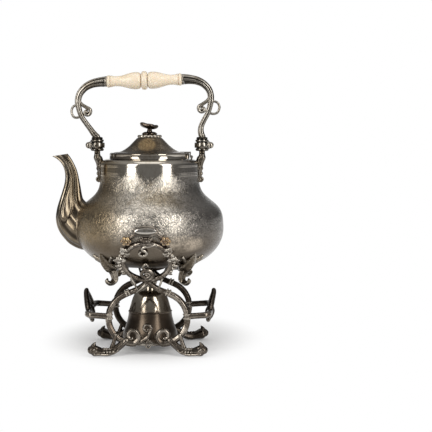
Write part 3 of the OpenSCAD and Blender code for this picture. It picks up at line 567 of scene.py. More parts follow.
def rod(path, sides, ref=(0, 1, 0), depth=1.0, flute=None, ends=True):
    """A rod along a path of (x, y, z, radius), rolled up from a grid.

    flute(angle, share) scales its radius, and the places that it hollows are darkened.
    """
    path = [Vector(p) for p in path]
    count = len(path)
    share_of = [k / (count - 1) for k in range(count)]
    if ends:
        path = dome(path[0], path[1])[::-1] + path + dome(path[-1], path[-2])
        share_of = [0.0] * DOME_STEPS + share_of + [1.0] * DOME_STEPS
    last = len(path) - 1
    frames = []
    for i, spot in enumerate(path):
        t = (path[min(i + 1, last)].xyz - path[max(i - 1, 0)].xyz).normalized()
        u = Vector(ref).cross(t).normalized()
        frames.append((spot, u, t.cross(u)))
    bm = bmesh.new()
    hollow = bm.verts.layers.float.new("hollow")
    bmesh.ops.create_grid(bm, x_segments=sides, y_segments=last, size=0.5)
    for vert in bm.verts:
        i = round((vert.co.y + 0.5) * last)
        a = (vert.co.x + 0.5) * math.tau
        spot, u, v = frames[i]
        swell = flute(a, share_of[i]) if flute else 1.0
        vert[hollow] = min(1.0, max(0.0, (1.0 - swell) * HOLLOW_GAIN))
        vert.co = spot.xyz + spot.w * swell * (math.cos(a) * u + depth * math.sin(a) * v)
    bmesh.ops.remove_doubles(bm, verts=bm.verts, dist=0.0005)
    bmesh.ops.holes_fill(bm, edges=[e for e in bm.edges if e.is_boundary], sides=0)
    bmesh.ops.recalc_face_normals(bm, faces=bm.faces)
    return bm


def ball(x, y, z, r, squash=(1, 1, 1)):
    bm = bmesh.new()
    bmesh.ops.create_uvsphere(bm, u_segments=20, v_segments=12, radius=r)
    bmesh.ops.scale(bm, vec=squash, verts=bm.verts)
    bmesh.ops.translate(bm, vec=(x, y, z), verts=bm.verts)
    return bm


def moved(bm, matrix):
    """Moves the mesh, and keeps its faces outward when the matrix mirrors it."""
    bmesh.ops.transform(bm, matrix=matrix, verts=bm.verts)
    if matrix.determinant() < 0:
        bmesh.ops.reverse_faces(bm, faces=bm.faces)
    return bm


# %% [markdown]
# A casting starts as rods and balls that overlap. They are melted into one skin, and the skin gets the
# soft bumps of a cast surface.


# %% Castings
def together(*parts):
    """Puts several meshes into one."""
    whole = bmesh.new()
    for part in parts:
        carrier = bpy.data.meshes.new("carrier")
        part.to_mesh(carrier)
        part.free()
        whole.from_mesh(carrier)
        bpy.data.meshes.remove(carrier)
    return whole


def cast_skin(*waves):
    """A relief of soft bumps, as casting leaves them, from pairs of a height and a fineness."""
    return lambda p: sum(height * noise.noise(p * fineness) for height, fineness in waves)


def melted(bm, voxel, rounds, relief=None):
    """One skin over all that overlaps, smoothed, with a relief(point) along its normals."""
    carrier = bpy.data.meshes.new("carrier")
    bm.to_mesh(carrier)
    bm.free()
    holder = bpy.data.objects.new("holder", carrier)
    bpy.context.scene.collection.objects.link(holder)
    remesh = holder.modifiers.new("melt", "REMESH")
    remesh.mode = "VOXEL"
    remesh.voxel_size = voxel
    evaluated = holder.evaluated_get(bpy.context.evaluated_depsgraph_get())
    skin = bmesh.new()
    skin.from_mesh(evaluated.to_mesh())
    evaluated.to_mesh_clear()
    bpy.data.objects.remove(holder)
    bpy.data.meshes.remove(carrier)
    for _ in range(rounds):
        bmesh.ops.smooth_vert(
            skin, verts=skin.verts, factor=0.5, use_axis_x=True, use_axis_y=True, use_axis_z=True
        )
    if relief:
        skin.normal_update()
        for vert in skin.verts:
            vert.co += vert.normal * relief(vert.co)
    return skin


# %% [markdown]
# A finished piece is in metres, and knows its body, its material and the solids that it stands for.

# %% Pieces
PIECES = []


def piece(name, bm, body, material, nodes, crease=35):
    """Finishes a mesh: metres, smooth shading, its body and the nodes that it stands for."""
    bmesh.ops.remove_doubles(bm, verts=bm.verts, dist=0.0005)
    bmesh.ops.dissolve_degenerate(bm, edges=bm.edges, dist=0.0001)
    bmesh.ops.recalc_face_normals(bm, faces=bm.faces)
    bmesh.ops.scale(bm, vec=(MM, MM, MM), verts=bm.verts)
    mesh = bpy.data.meshes.new(name)
    bm.to_mesh(mesh)
    bm.free()
    mesh.shade_smooth()
    mesh.set_sharp_from_angle(angle=math.radians(crease))
    mesh.materials.append(material)
    made = bpy.data.objects.new(name, mesh)
    bpy.context.scene.collection.objects.link(made)
    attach(made, body)
    if nodes:
        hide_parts(*nodes)
    PIECES.append(made)
    print(f"{name}: {len(mesh.polygons)} faces")
    return made


# %% [markdown]
# ## Kettle body
# A silversmith raises the body from a flat sheet, and draws the neck in over stakes. Its wall is one
# outline: an ellipse below the widest place, and above it a long soft S into the neck. The neck's top
# carries a plain band between fine reeds, which are turned into the outline itself.

# %% Kettle body
BELLY_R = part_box("kettle_body")[1].x / MM
BOTTOM_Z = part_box("kettle_bottom")[0].z / MM
SEAM_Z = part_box("kettle_body")[1].z / MM
BELLY_Z = 171
CORE_R = 45
NECK_R = 68.6
NECK_TOP_Z = 259.7
MOUTH_R = 57.4
WALL = 1.6
REEDS = (245.6, 247.4, 249.2, 257.4, 259.0)


def belly_radius(z):
    """The body's radius at a height: an ellipse below the widest place, a soft S above it."""
    if z < BELLY_Z:
        drop = (BELLY_Z - z) / (BELLY_Z - BOTTOM_Z)
        return CORE_R + (BELLY_R - CORE_R) * math.sqrt(max(0.0, 1 - drop * drop))
    return NECK_R + (BELLY_R - NECK_R) / (1 + math.exp((z - BELLY_Z - 38.3) / 6.9))


def reeded(z):
    """How far the reeds stand out at a height."""
    return sum(0.06 * math.exp(-((z - reed) / 0.45) ** 2) for reed in REEDS)


def kettle_outline():
    """The wall from the bottom up to the mouth outside, and back down inside."""
    outer = []
    start = math.degrees(math.asin((BELLY_Z - BOTTOM_Z - 0.4) / (BELLY_Z - BOTTOM_Z)))
    for k in range(34):
        a = math.radians(start * (1 - k / 34))
        outer.append((CORE_R + (BELLY_R - CORE_R) * math.cos(a), BELLY_Z - (BELLY_Z - BOTTOM_Z) * math.sin(a)))
    z = BELLY_Z
    while z < NECK_TOP_Z:
        outer.append((belly_radius(z) + reeded(z), z))
        z += 0.35 if z > REEDS[0] - 2 else 2.0
    for k in range(1, 13):
        a = math.radians(7.5 * k)
        r = MOUTH_R + (NECK_R - MOUTH_R) * math.cos(a)
        outer.append((r, NECK_TOP_Z + (SEAM_Z - NECK_TOP_Z) * math.sin(a)))
    inner = [(max(r - WALL, 49.0), min(z, SEAM_Z - WALL)) for r, z in outer[1::2]]
    return [(51.0, BOTTOM_Z + 0.4)] + outer[1:] + inner[::-1] + [(51.0, BOTTOM_Z + 2)]


piece("kettle_shell", turned(kettle_outline(), 176), "kettle", body_silver, ["kettle_body"], 50)

# %% [markdown]
# ## Spout
# The spout is cast in two halves with bold ridges that run up from its root, part round a smooth
# drop-shaped panel, and close again under the beak. Each ring of the spout reaches from an outer to an
# inner edge, so the silhouette can be read off directly.

# %% Spout stations
# outer edge x and z, inner edge x and z, half width
SPOUT_STATIONS = [
    (-84.0, 138.6, -84.0, 197.2, 25.5),
    (-97.0, 140.0, -86.6, 203.2, 25.5),
    (-111.2, 147.0, -90.0, 206.6, 24.4),
    (-120.0, 155.6, -92.2, 208.8, 22.4),
    (-127.0, 165.6, -94.0, 211.4, 20.2),
    (-130.7, 176.0, -95.0, 214.8, 18.0),
    (-131.6, 186.4, -95.8, 218.8, 16.1),
    (-129.6, 198.6, -96.6, 223.4, 14.3),
    (-126.0, 210.3, -97.4, 228.4, 12.8),
    (-122.0, 222.2, -98.4, 233.8, 11.4),
    (-119.0, 232.5, -99.4, 239.4, 10.4),
    (-117.8, 242.6, -100.8, 246.0, 9.6),
    (-119.2, 252.6, -103.4, 254.2, 9.2),
    (-123.2, 260.9, -107.4, 262.8, 9.1),
    (-129.6, 267.0, -111.4, 269.6, 8.7),
    (-136.3, 270.7, -115.0, 274.2, 8.0),
]
SPOUT_RINGS = 12
SPOUT_SIDES = 176
BEAK_FROM = 0.84
BEAK_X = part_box("spout")[0].x / MM + 0.05
print("spout from", SPOUT_STATIONS[0][:2], "to", SPOUT_STATIONS[-1][:2])

# %% [markdown]
# The ridges are a ripple on each ring. Two of them part round the panel, and all of them fade at the
# root and get lower towards the beak.

# %% Ridges
# where each ridge lies round the spout, its width and its height
RIDGES = ((0, 9, 1.0), (26, 7, 1.5), (50, 7, 1.5), (137, 7, 1.5), (159, 7, 1.4), (180, 7, 1.0))


def ridge(turn, centre, width, height):
    return height * math.exp(-(((turn - centre) / width) ** 2))


def root_fade(s):
    """0 at the spout's root and 1 a little above it."""
    return min(1.0, max(0.0, (s - 0.02) / 0.08))


def spout_relief(turn, s):
    """Height of the ridges in mm, at a turn of 0 (inner edge) to 180 (outer edge) and s up the spout."""
    narrowing = 1.0 - 0.4 * max(0.0, s - 0.5) / 0.5
    height = 0.0
    for centre, width, tall in RIDGES:
        height += ridge(turn, centre, width, tall)
    opening = (s - 0.26) / 0.07
    closing = 1.0 - 0.84 * min(1.0, max(0.0, (s - 0.40) / 0.36))
    panel = 25.0 * math.sqrt(max(0.0, min(1.0, opening))) * closing
    if opening > 0:
        height += ridge(turn, 93 + panel, 6, 1.5) + ridge(turn, 93 - panel, 6, 1.5)
        height += ridge(turn, 93, panel * 0.7 + 1, 0.55)
    else:
        height += ridge(turn, 84, 7, 1.2) + ridge(turn, 108, 7, 1.2)
    return (height - 0.55) * root_fade(s) * narrowing


# %% [markdown]
# The skin runs up outside, over the beak and down inside, where it is painted dark as shade.


# %% Spout skin
def spout_mesh():
    """The spout as one skin that runs up outside, over the beak and a little way down inside."""
    columns = list(zip(*SPOUT_STATIONS))
    stations = [Vector(s[:4]) for s in SPOUT_STATIONS]
    edges = smooth(stations, SPOUT_RINGS)
    widths = [p.x for p in smooth([Vector((w, 0, 0)) for w in columns[4]], SPOUT_RINGS)]
    rows = len(edges) - 1
    depth_rows = 8 * SPOUT_RINGS
    last = rows + 1 + depth_rows
    bm = bmesh.new()
    hollow = bm.verts.layers.float.new("hollow")
    bmesh.ops.create_grid(bm, x_segments=SPOUT_SIDES, y_segments=last, size=0.5)
    for vert in bm.verts:
        j = round((vert.co.y + 0.5) * last)
        a = (vert.co.x + 0.5) * math.tau
        inside = j > rows
        i = 2 * rows + 1 - j if inside else j
        s = i / rows
        outer = Vector((edges[i].x, 0, edges[i].y))
        inner = Vector((edges[i].z, 0, edges[i].w))
        across, middle = (inner - outer) / 2, (outer + inner) / 2
        turn = math.degrees(math.acos(max(-1, min(1, math.cos(a)))))
        beak = max(0.0, (s - BEAK_FROM) / (1 - BEAK_FROM))
        pointed = 1 - 0.86 * beak * ((1 - math.cos(a)) / 2) ** 2.2
        side = Vector((0, widths[i] * math.sin(a) * pointed, 0))
        spot = middle + across * math.cos(a) + side
        out = (spot - middle).normalized()
        if inside:
            bore = inner + (outer - inner) * 0.5 * (1 - 0.25 * beak)
            spot = bore + (spot - middle) * (0.80 - 0.25 * beak)
            # painted shade inside the spout
            vert[hollow] = 0.8
        else:
            relief = spout_relief(turn, s)
            spot += out * relief
            vert[hollow] = min(0.85, max(0.0, (0.05 - relief) * 1.7)) * root_fade(s)
        vert.co = (max(spot.x, BEAK_X), spot.y, spot.z)
    bmesh.ops.remove_doubles(bm, verts=bm.verts, dist=0.0005)
    rims = [e for e in bm.edges if e.is_boundary]
    bmesh.ops.holes_fill(bm, edges=rims, sides=0)
    return bm


piece("spout_casting", spout_mesh(), "kettle", spout_silver, ["spout"], 60)

# %% [markdown]
# A thin plate frames the root of the spout, so that the solder line is hidden. It follows the belly, so
# each of its points is dropped onto the kettle's own outline.

# %% Spout root
ROOT_Z = 172
ROOT_R = 29.3
ROOT_SIDES = 112
# share of the frame's radius, and how far it stands off the belly there
ROOT_PROFILE = (
    (0.62, -0.5), (0.66, 0.5), (0.80, 0.5), (0.84, 0.9), (0.87, 0.9), (0.9, 0.35), (0.93, 0.35), (0.955, 1.3),
    (0.985, 1.3), (1.0, 0.8), (1.0, -0.6),
)


def spout_root_mesh():
    last = len(ROOT_PROFILE) - 1
    bm = bmesh.new()
    bmesh.ops.create_grid(bm, x_segments=ROOT_SIDES, y_segments=last, size=0.5)
    for vert in bm.verts:
        share, proud = ROOT_PROFILE[round((vert.co.y + 0.5) * last)]
        a = (vert.co.x + 0.5) * math.tau
        y = ROOT_R * share * math.cos(a)
        z = ROOT_Z + ROOT_R * share * math.sin(a)
        r = belly_radius(z) + proud
        vert.co = (-math.sqrt(max(r * r - y * y, 1.0)), y, z)
    bmesh.ops.remove_doubles(bm, verts=bm.verts, dist=0.0005)
    rims = [e for e in bm.edges if e.is_boundary]
    bmesh.ops.bridge_loops(bm, edges=rims)
    return bm


piece("spout_root_frame", spout_root_mesh(), "kettle", spout_silver, ["spout_root"], 40)

# %% [markdown]
# ## Kettle feet
# Four small leaf feet are soldered to the belly. They hang clear of the stand, and carry the kettle only
# when it is set down on a table by itself.

# %% Kettle feet
FOOT_LINE = [
    (75, 0, 128, 5.6), (71, 0, 119, 5.2), (66.4, 0, 110, 4.6), (65, 0, 102.8, 4.2), (69, 0, 98.9, 3.6),
    (75, 0, 98.7, 3.2), (79.4, 0, 101.6, 2.5), (78.4, 0, 104.6, 1.4),
]
LEAF_LINE = [
    (60, 0, 117, 3), (71, 0, 122.6, 9.8), (80, 0, 129.0, 8.6), (86.6, 0, 135.6, 5.4), (90.2, 0, 141, 2.4),
]
LEAF_LOBES = ((117, 8, 127, 15), (121, 9, 131, 16), (127, 7, 136, 12))


def on_belly(turn, z, r):
    """A point on the belly's wall, turned away from +X by that many degrees, with a rod's radius r."""
    a = math.radians(turn)
    return belly_radius(z) * math.cos(a), belly_radius(z) * math.sin(a), z, r


def kettle_foot():
    """A leaf on the belly, whose stalk is the leg; the leg rolls out into a toe."""
    leg = rod(smooth(FOOT_LINE, 6), sides=24, depth=1.25, flute=lobed(5, 0.09))
    leaf = rod(smooth(LEAF_LINE, 6), sides=30, flute=lobed(5, 0.13))
    lobes = []
    for low, spread, high, reach in LEAF_LOBES:
        for side in (-1, 1):
            ends = [(low, side * 2), ((low + high) / 2 - 1, side * spread), (high, side * reach)]
            line = [on_belly(turn, z, r) for (z, turn), r in zip(ends, (3.2, 3.5, 2.4))]
            lobes.append(rod(smooth(line, 5), sides=14))
    eye = ball(79, 0, 127.5, 3.4)
    return melted(together(leg, leaf, eye, *lobes), 0.6, 2, cast_skin((0.25, 0.35), (0.15, 1.1)))


for number, turn in enumerate((45, 135, 225, 315), 1):
    foot = moved(kettle_foot(), rotation(turn, "Z"))
    piece(f"kettle_leaf_foot_{number}", foot, "kettle", cast_silver, [f"kettle_foot_{number}"])

# %% [markdown]
# ## Cutting
# Bores and slots are cut out of a finished skin with a boolean: one shape is taken away from the other.


# %% Cutting
def as_object(bm, name):
    """Links the mesh to the scene, for a cut or as part of the room."""
    mesh = bpy.data.meshes.new(name)
    bm.to_mesh(mesh)
    bm.free()
    made = bpy.data.objects.new(name, mesh)
    bpy.context.scene.collection.objects.link(made)
    return made


def cut_away(bm, tool):
    """Cuts the tool's shape out of the mesh."""
    bmesh.ops.recalc_face_normals(bm, faces=bm.faces)
    bmesh.ops.recalc_face_normals(tool, faces=tool.faces)
    whole, cutter = as_object(bm, "whole"), as_object(tool, "cutter")
    difference = whole.modifiers.new("cut", "BOOLEAN")
    difference.operation = "DIFFERENCE"
    difference.solver = "EXACT"
    difference.object = cutter
    evaluated = whole.evaluated_get(bpy.context.evaluated_depsgraph_get())
    made = bmesh.new()
    made.from_mesh(evaluated.to_mesh())
    evaluated.to_mesh_clear()
    for used in (whole, cutter):
        mesh = used.data
        bpy.data.objects.remove(used)
        bpy.data.meshes.remove(mesh)
    return made


def disc_across(radius, thickness, x, z, segments=56):
    """A disc whose axis is the pivot's."""
    half = thickness / 2
    disc = turned([(0, -half), (radius, -half), (radius, half), (0, half)], segments, closed=False)
    return moved(disc, Matrix.Translation((x, 0, z)) @ rotation(90, "Y"))


# %% [markdown]
# ## Handle lugs
# Each lug is a small casting: a leaf flat on the neck that ends in a curl, and an arm that rises from it
# and carries the flat tongue of the bail's pivot.

# %% Handle lugs
PIVOT_X = 73.2
PIVOT_Z = 286
PIN_R = 2.2
TONGUE_R = 8.6


def slanting_veins(a, s):
    return 1 + 0.13 * math.cos(7 * a + 9 * s)


def lug():
    """A flat round tongue, an arm that leans in to the shoulder, and a leaf with a curl on the neck."""
    tongue = disc_across(TONGUE_R, 4.3, PIVOT_X, PIVOT_Z)
    arm_line = smooth([
        (PIVOT_X, 0, PIVOT_Z - 14.4, 4.3), (PIVOT_X - 0.4, 0, PIVOT_Z - 17, 5.2),
        (PIVOT_X - 2.4, 0, 265, 5.3), (NECK_R + 1.0, 0, 258.4, 4.7), (NECK_R + 0.8, 0, 250, 3.8),
        (NECK_R + 1.6, 0, 243, 2.6),
    ], 6)
    arm = rod(arm_line, sides=28, flute=lobed(6, 0.09))
    neck_line = [Vector((PIVOT_X, 0, PIVOT_Z - drop, 2.1)) for drop in (6, 15)]
    neck = rod(neck_line, sides=16, depth=2.0, ref=(1, 0, 0))
    curl = rod(curled(NECK_R + 3.0, 239, 3.8, 0.26, 200, 36, 1.8, 0.05, 12), sides=14)
    leaf_line = smooth([
        (NECK_R - 0.6, 0, 264, 4), (NECK_R - 0.4, 0, 256, 9.4), (NECK_R - 0.2, 0, 247, 8),
        (NECK_R + 0.4, 0, 235, 1.4),
    ], 7)
    leaf = rod(leaf_line, sides=40, ref=(1, 0, 0), depth=0.34, flute=slanting_veins)
    knobs = [ball(NECK_R + 3.4, 0, z, r) for z, r in ((261, 3.2), (253.6, 2.9), (246.6, 2.6))]
    skin = melted(together(tongue, arm, neck, curl, leaf, *knobs), 0.45, 1, cast_skin((0.14, 0.9)))
    return cut_away(skin, disc_across(PIN_R + 0.15, 30, PIVOT_X, PIVOT_Z, 40))


piece("lug_right", lug(), "kettle", cast_silver, ["right_lug"])
piece("lug_left", moved(lug(), MIRROR_X), "kettle", cast_silver, ["left_lug"])

# %% [markdown]
# ## Lid
# The rim is a plain band that drops into the mouth with a thin bezel. The dome above it sweeps up in a
# hollow curve to a collar of small leaves, and the knop is a flower that leans to one side.

# %% Lid
LID_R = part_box("lid_rim")[1].x / MM
LID_TOP_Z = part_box("lid_rim")[1].z / MM
LID_Z = LID_TOP_Z - 7.2
BEZEL_R = 49.5
DOME_FOOT_Z = LID_TOP_Z + 2
DOME_TOP_Z = DOME_FOOT_Z + 19.6
DOME_LINE = [
    (45.4, 0, 0), (41.4, 0, 0.5), (36.2, 0, 2.8), (32.0, 0, 5.6), (28.5, 0, 8.4), (25.6, 0, 11.2),
    (22.8, 0, 14.0), (20.2, 0, 16.8), (17.2, 0, 19.6),
]
dome_curve = [(p.x, DOME_FOOT_Z + p.z) for p in smooth(DOME_LINE, 4)]

rim_outline = [
    (BEZEL_R - 1.4, SEAM_Z - 9), (BEZEL_R, SEAM_Z - 9), (BEZEL_R, LID_Z), (LID_R - 0.5, LID_Z),
    (LID_R, LID_Z + 0.5), (LID_R - 0.25, LID_Z + 1.2), (LID_R - 0.25, LID_TOP_Z - 1.4),
    (LID_R, LID_TOP_Z - 0.8), (LID_R - 0.2, LID_TOP_Z - 0.25), (LID_R - 0.8, LID_TOP_Z),
    (BEZEL_R - 1.4, LID_TOP_Z),
]
piece("lid_band", turned(rim_outline, 160), "lid", band_silver, ["lid_rim"], 30)

dome_outline = (
    [(BEZEL_R - 4, LID_TOP_Z), (LID_R - 1.0, LID_TOP_Z), (LID_R - 0.8, LID_TOP_Z + 0.5)]
    + [(LID_R - 1.6, LID_TOP_Z + 0.9), (51, LID_TOP_Z + 0.9), (49.6, LID_TOP_Z + 1.6), (47.6, LID_TOP_Z + 1.9)]
    + dome_curve
    + [(3.1, DOME_TOP_Z), (3.1, DOME_TOP_Z - 1.4)]
    + [(r - 1.3, z - 1.3) for r, z in dome_curve[:2:-1]]
)
piece("lid_dome_sheet", turned(dome_outline, 160), "lid", lid_silver, ["lid_dome"], 40)


# %% [markdown]
# On the dome's flat top sit a boss with a scalloped rim, six small leaves and the knop.

# %% Collar, leaves and knop
COLLAR_OUTLINE = [
    (3.1, 0), (14.5, 0), (15.6, -0.6), (16.6, 0.2), (17.2, 1.6), (17.0, 3.0), (16.0, 4.0), (14.2, 4.2),
    (12.4, 3.7), (10.4, 4.2), (7.6, 5.0), (3.1, 5.2),
]
SCALLOP_FROM = 9


def lid_collar():
    """A flat boss with a scalloped rim of small drooping leaves."""
    boss = turned(COLLAR_OUTLINE, 180)
    wide = [e for e in boss.edges if abs(e.verts[0].co.xy.length - e.verts[1].co.xy.length) > 1.5]
    bmesh.ops.subdivide_edges(boss, edges=wide, cuts=2)
    for vert in boss.verts:
        out = vert.co.xy.length - SCALLOP_FROM
        if out > 0:
            turn = math.atan2(vert.co.y, vert.co.x)
            wave = abs(math.cos(6.5 * turn)) ** 0.6 * min(1.0, out / 6)
            vert.co.xy *= 1 - 0.075 * (1 - wave) * min(1.0, out / 5)
            vert.co.z += 0.6 * (wave - 0.6) * min(1.0, out / 5)
    return moved(boss, Matrix.Translation((0, 0, DOME_TOP_Z)))


def lid_calyx():
    """Six small leaves round the foot of the knop's stem."""
    stalk = turned([(0, 4.6), (6.2, 4.6), (5.0, 6.4), (3.7, 8.2), (0, 8.2)], 40, closed=False)
    line = [(2.6, 0, 7.0, 1.6), (5.4, 0, 6.6, 2.2), (8.4, 0, 5.9, 1.9), (10.6, 0, 5.4, 0.6)]
    leaves = [rod(smooth(line, 4), sides=14, depth=1.3) for _ in range(6)]
    placed = [moved(leaf, Matrix.Rotation(math.tau * k / 6, 4, "Z")) for k, leaf in enumerate(leaves)]
    whole = moved(together(stalk, *placed), Matrix.Translation((0, 0, DOME_TOP_Z)))
    return melted(whole, 0.4, 2)


STEM_OUTLINE = [
    (0, -1), (3.0, -1), (3.2, 6), (4.2, 8.4), (3.3, 11), (2.9, 13.6), (3.4, 15.6), (5.6, 17.6), (0, 18.2),
]
FLOWER_OUTLINE = [
    (0, -4.4), (5, -4.2), (9, -3.2), (11.8, -1.6), (13.0, 0.4), (12.8, 1.9), (11.6, 2.9), (9.6, 3.1),
    (7, 2.3), (4.6, 1.5), (3.2, 1.9), (2.4, 2.9), (0, 3.3),
]


def flower_knop():
    """A stem, and on it a flat flower of five petals that leans to the hinge."""
    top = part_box("finial")[1].z / MM
    stem = moved(turned(STEM_OUTLINE, 40, closed=False), Matrix.Translation((0, 0, DOME_TOP_Z)))
    flower = turned(FLOWER_OUTLINE, 120, closed=False)
    for vert in flower.verts:
        r = vert.co.xy.length
        if r > 4:
            petal = math.cos(5 * math.atan2(vert.co.y, vert.co.x)) * (r - 4) / 9
            vert.co.xy *= 1 + 0.05 * petal
            vert.co.z += 0.5 * petal
    moved(flower, Matrix.Translation((-1.2, 0, top - 5.9)) @ rotation(11, "Y"))
    return melted(together(stem, flower), 0.36, 1, cast_skin((0.1, 0.8)))


piece("lid_leaf_collar", lid_collar(), "lid", cast_silver, ["lid_collar"])
piece("lid_leaf_calyx", lid_calyx(), "lid", knop_bronze, ["lid_calyx"])
piece("flower_knop", flower_knop(), "lid", knop_bronze, ["finial"])

# %% [markdown]
# ## Bail handle
# The arms are cast rods with seven rounded ribs. They swell towards the grip and are thinnest a little
# above the hinge collars, which are turned in three steps. An open ring and a curled bud are soldered
# across each arm.

# %% Bail handle
ARM_LINE = [
    (PIVOT_X, 0, 295, 4.9), (74.6, 0, 302.4, 4.4), (77.2, 0, 310, 3.9), (82.4, 0, 319, 3.7),
    (87.8, 0, 328, 3.7), (91.4, 0, 339, 4.0), (92.6, 0, 350, 4.5), (89.8, 0, 360.4, 4.8),
    (82.4, 0, 368.8, 5.2), (73, 0, 373.6, 5.9), (63, 0, 375.6, 6.6), (56.6, 0, 376, 7.2),
    (55.2, 0, 376, 7.2),
]
COLLAR_TOP_Z = PIVOT_Z + 11.6
GRIP_Z = 376
BAIL_LEAN = 7
BEND_LENGTH = 9
GRIP_SLOPE = 0.029


def leaned(path, side):
    """The handle is bent: just above its collars it leans to the spout, and its grip slopes a little."""
    made = []
    for p in path:
        s = 1 - math.exp(min(0.0, (COLLAR_TOP_Z - p[2]) / BEND_LENGTH))
        made.append(Vector((side * p[0] - BAIL_LEAN * s, p[1], p[2] + side * GRIP_SLOPE * p[0] * s, p[3])))
    return made


def darker_by_grip(bm):
    """The arms are darkest where they meet the grip, where no cloth gets in."""
    hollow = bm.verts.layers.float["hollow"]
    for vert in bm.verts:
        if vert.co.z > 350:
            reach = (60 if vert.co.x < 0 else 78) - abs(vert.co.x + BAIL_LEAN)
            near = min(1.0, max(0.0, reach / (5 if vert.co.x < 0 else 18)))
            vert[hollow] = max(vert[hollow], 0.55 * near)
    return bm


def fluted(a, s):
    """Seven rounded ribs with narrow valleys between them."""
    return 1 - 0.16 * abs(math.sin(3.5 * a)) ** 5 + 0.01


# %% [markdown]
# The hinge collars are turned. Each is slotted from below for the flat tongue of its lug, which needs
# room to turn through the whole swing.

# %% Hinge collars
HINGE_COLLAR_OUTLINE = [
    (0, -8), (7.4, -8), (8.6, -7.6), (9.2, -6.4), (9.0, -5.0), (8.0, -4.3), (8.0, -3.8), (9.0, -3.2),
    (9.3, -1.6), (9.3, 1.8), (9.0, 3.4), (7.9, 4.0), (7.9, 4.5), (9.0, 5.1), (9.4, 6.3), (9.1, 7.5),
    (7.8, 8.1), (7.4, 8.5), (7.9, 9.1), (7.9, 10.2), (7.0, 11.2), (5.6, 11.6), (0, 11.6),
]


def hinge_collar(side):
    """Three turned rings, slotted for the lug's tongue, which turns in them."""
    centre = Matrix.Translation((side * PIVOT_X, 0, PIVOT_Z))
    collar = moved(turned(HINGE_COLLAR_OUTLINE, 64, closed=False), centre)
    slot = bmesh.new()
    bmesh.ops.create_cube(slot, size=1)
    bmesh.ops.scale(slot, vec=(4.8, 30, 19.6), verts=slot.verts)
    bmesh.ops.translate(slot, vec=(side * PIVOT_X, 0, PIVOT_Z - 4.2), verts=slot.verts)
    collar = cut_away(collar, slot)
    collar = cut_away(collar, disc_across(TONGUE_R + 0.35, 4.8, side * PIVOT_X, PIVOT_Z))
    hollow = collar.verts.layers.float.new("hollow")
    for vert in collar.verts:
        inward = 9.4 - math.hypot(vert.co.x - side * PIVOT_X, vert.co.y)
        vert[hollow] = min(0.95, 0.4 + 0.5 * max(0.0, inward))
    return collar


# %% [markdown]
# Each arm is one piece with its collar. The ring and the bud are melted into a knot that is a piece of
# its own.


# %% Arms and knots
def ring_line(wide):
    """The open ring outside the arm. The right one is wider than the left one."""
    return [
        (91, 0, 343.4, 1.9), (91 + 5.4 * wide, 0, 344.4, 1.8), (91 + 11.2 * wide, 0, 341.8, 1.75),
        (91 + 13.4 * wide, 0, 335.4, 1.75), (91 + 10.8 * wide, 0, 329, 1.75), (91 + 5 * wide, 0, 327, 1.8),
        (88.2, 0, 329, 2),
    ]


BUD_LINE = [(90.6, 0, 350, 2.1), (87.2, 0, 345.2, 2.4), (81.4, 0, 341.2, 2.6)]
BUD_LINE += curled(80.6, 334.2, 5.8, 0.55, 140, 48, 2.6, 0.2, 7)

for side, label in ((-1, "left"), (1, "right")):
    arm = darker_by_grip(rod(leaned(smooth(ARM_LINE, 9), side), sides=84, flute=fluted, ends=False))
    piece(f"bail_arm_casting_{label}", together(arm, hinge_collar(side)), "bail", arm_silver,
          [f"bail_arm_{label}"], 50)
    ring = rod(leaned(smooth(ring_line(0.8 if side < 0 else 1.0), 8), side), sides=16)
    bud = rod(leaned(smooth(BUD_LINE, 5), side), sides=18, depth=1.25)
    eye = ball(*leaned([(80.8, 0, 334.4, 1)], side)[0].xyz, 2.4, (1, 1.3, 1))
    knot = melted(together(ring, bud, eye), 0.4, 1)
    piece(f"bail_knot_{label}", knot, "bail", arm_silver, [f"bail_knots_{label}"])

# %% [markdown]
# ## Turned pieces of the bail
# The grip is three turned pieces on a hidden rod, with a thin ferrule at each end. The pivot pins end in
# a round rivet inside and in a pointed knob outside.

# %% Turned pieces of the bail
BARREL = [
    (9.2, 5), (10.3, 5.3), (10.9, 6.2), (11.5, 7.6), (11.8, 9), (12.0, 11.5), (11.9, 14), (11.5, 17),
    (10.9, 20), (10.1, 23), (9.2, 26), (8.3, 29), (7.6, 32), (7.15, 35), (7.0, 38), (7.05, 41), (7.3, 43),
    (7.9, 45), (8.3, 46.2), (8.1, 46.8), (7.6, 47.2), (7.7, 47.6), (8.4, 48.0), (8.6, 49.2), (8.5, 50.6),
    (8.0, 51.5), (7.4, 52),
]
BEAD = [
    (3, -5), (8.3, -5), (8.6, -4.6), (9, -4.2), (10.6, -4.1), (11.6, -3.6), (12.4, -2.6), (12.9, -1.3),
    (13, 0), (12.9, 1.3), (12.4, 2.6), (11.6, 3.6), (10.6, 4.1), (9, 4.2), (8.6, 4.6), (8.3, 5), (3, 5),
]
PIN_OUTLINE = [
    (0, -10.4), (2.2, -10.4), (3.4, -10.2), (4.0, -9.6), (3.6, -9), (2.2, -9), (2.2, 8.4), (5.2, 8.4),
    (5.6, 9.4), (5.3, 10.6), (4.4, 11.4), (4.6, 12.4), (4.2, 13.8), (3.2, 15.2), (1.8, 16.1), (0, 16.4),
]
FERRULE_OUTLINE = [
    (3.0, 52), (6.9, 52), (7.4, 52.4), (7.5, 53.2), (7.2, 53.7), (7.5, 54.2), (7.4, 54.8), (7, 55), (3.0, 55),
]
GRIP_TILT = 1.6
TO_GRIP = Matrix.Translation((-BAIL_LEAN, 0, GRIP_Z)) @ rotation(90 - GRIP_TILT, "Y")

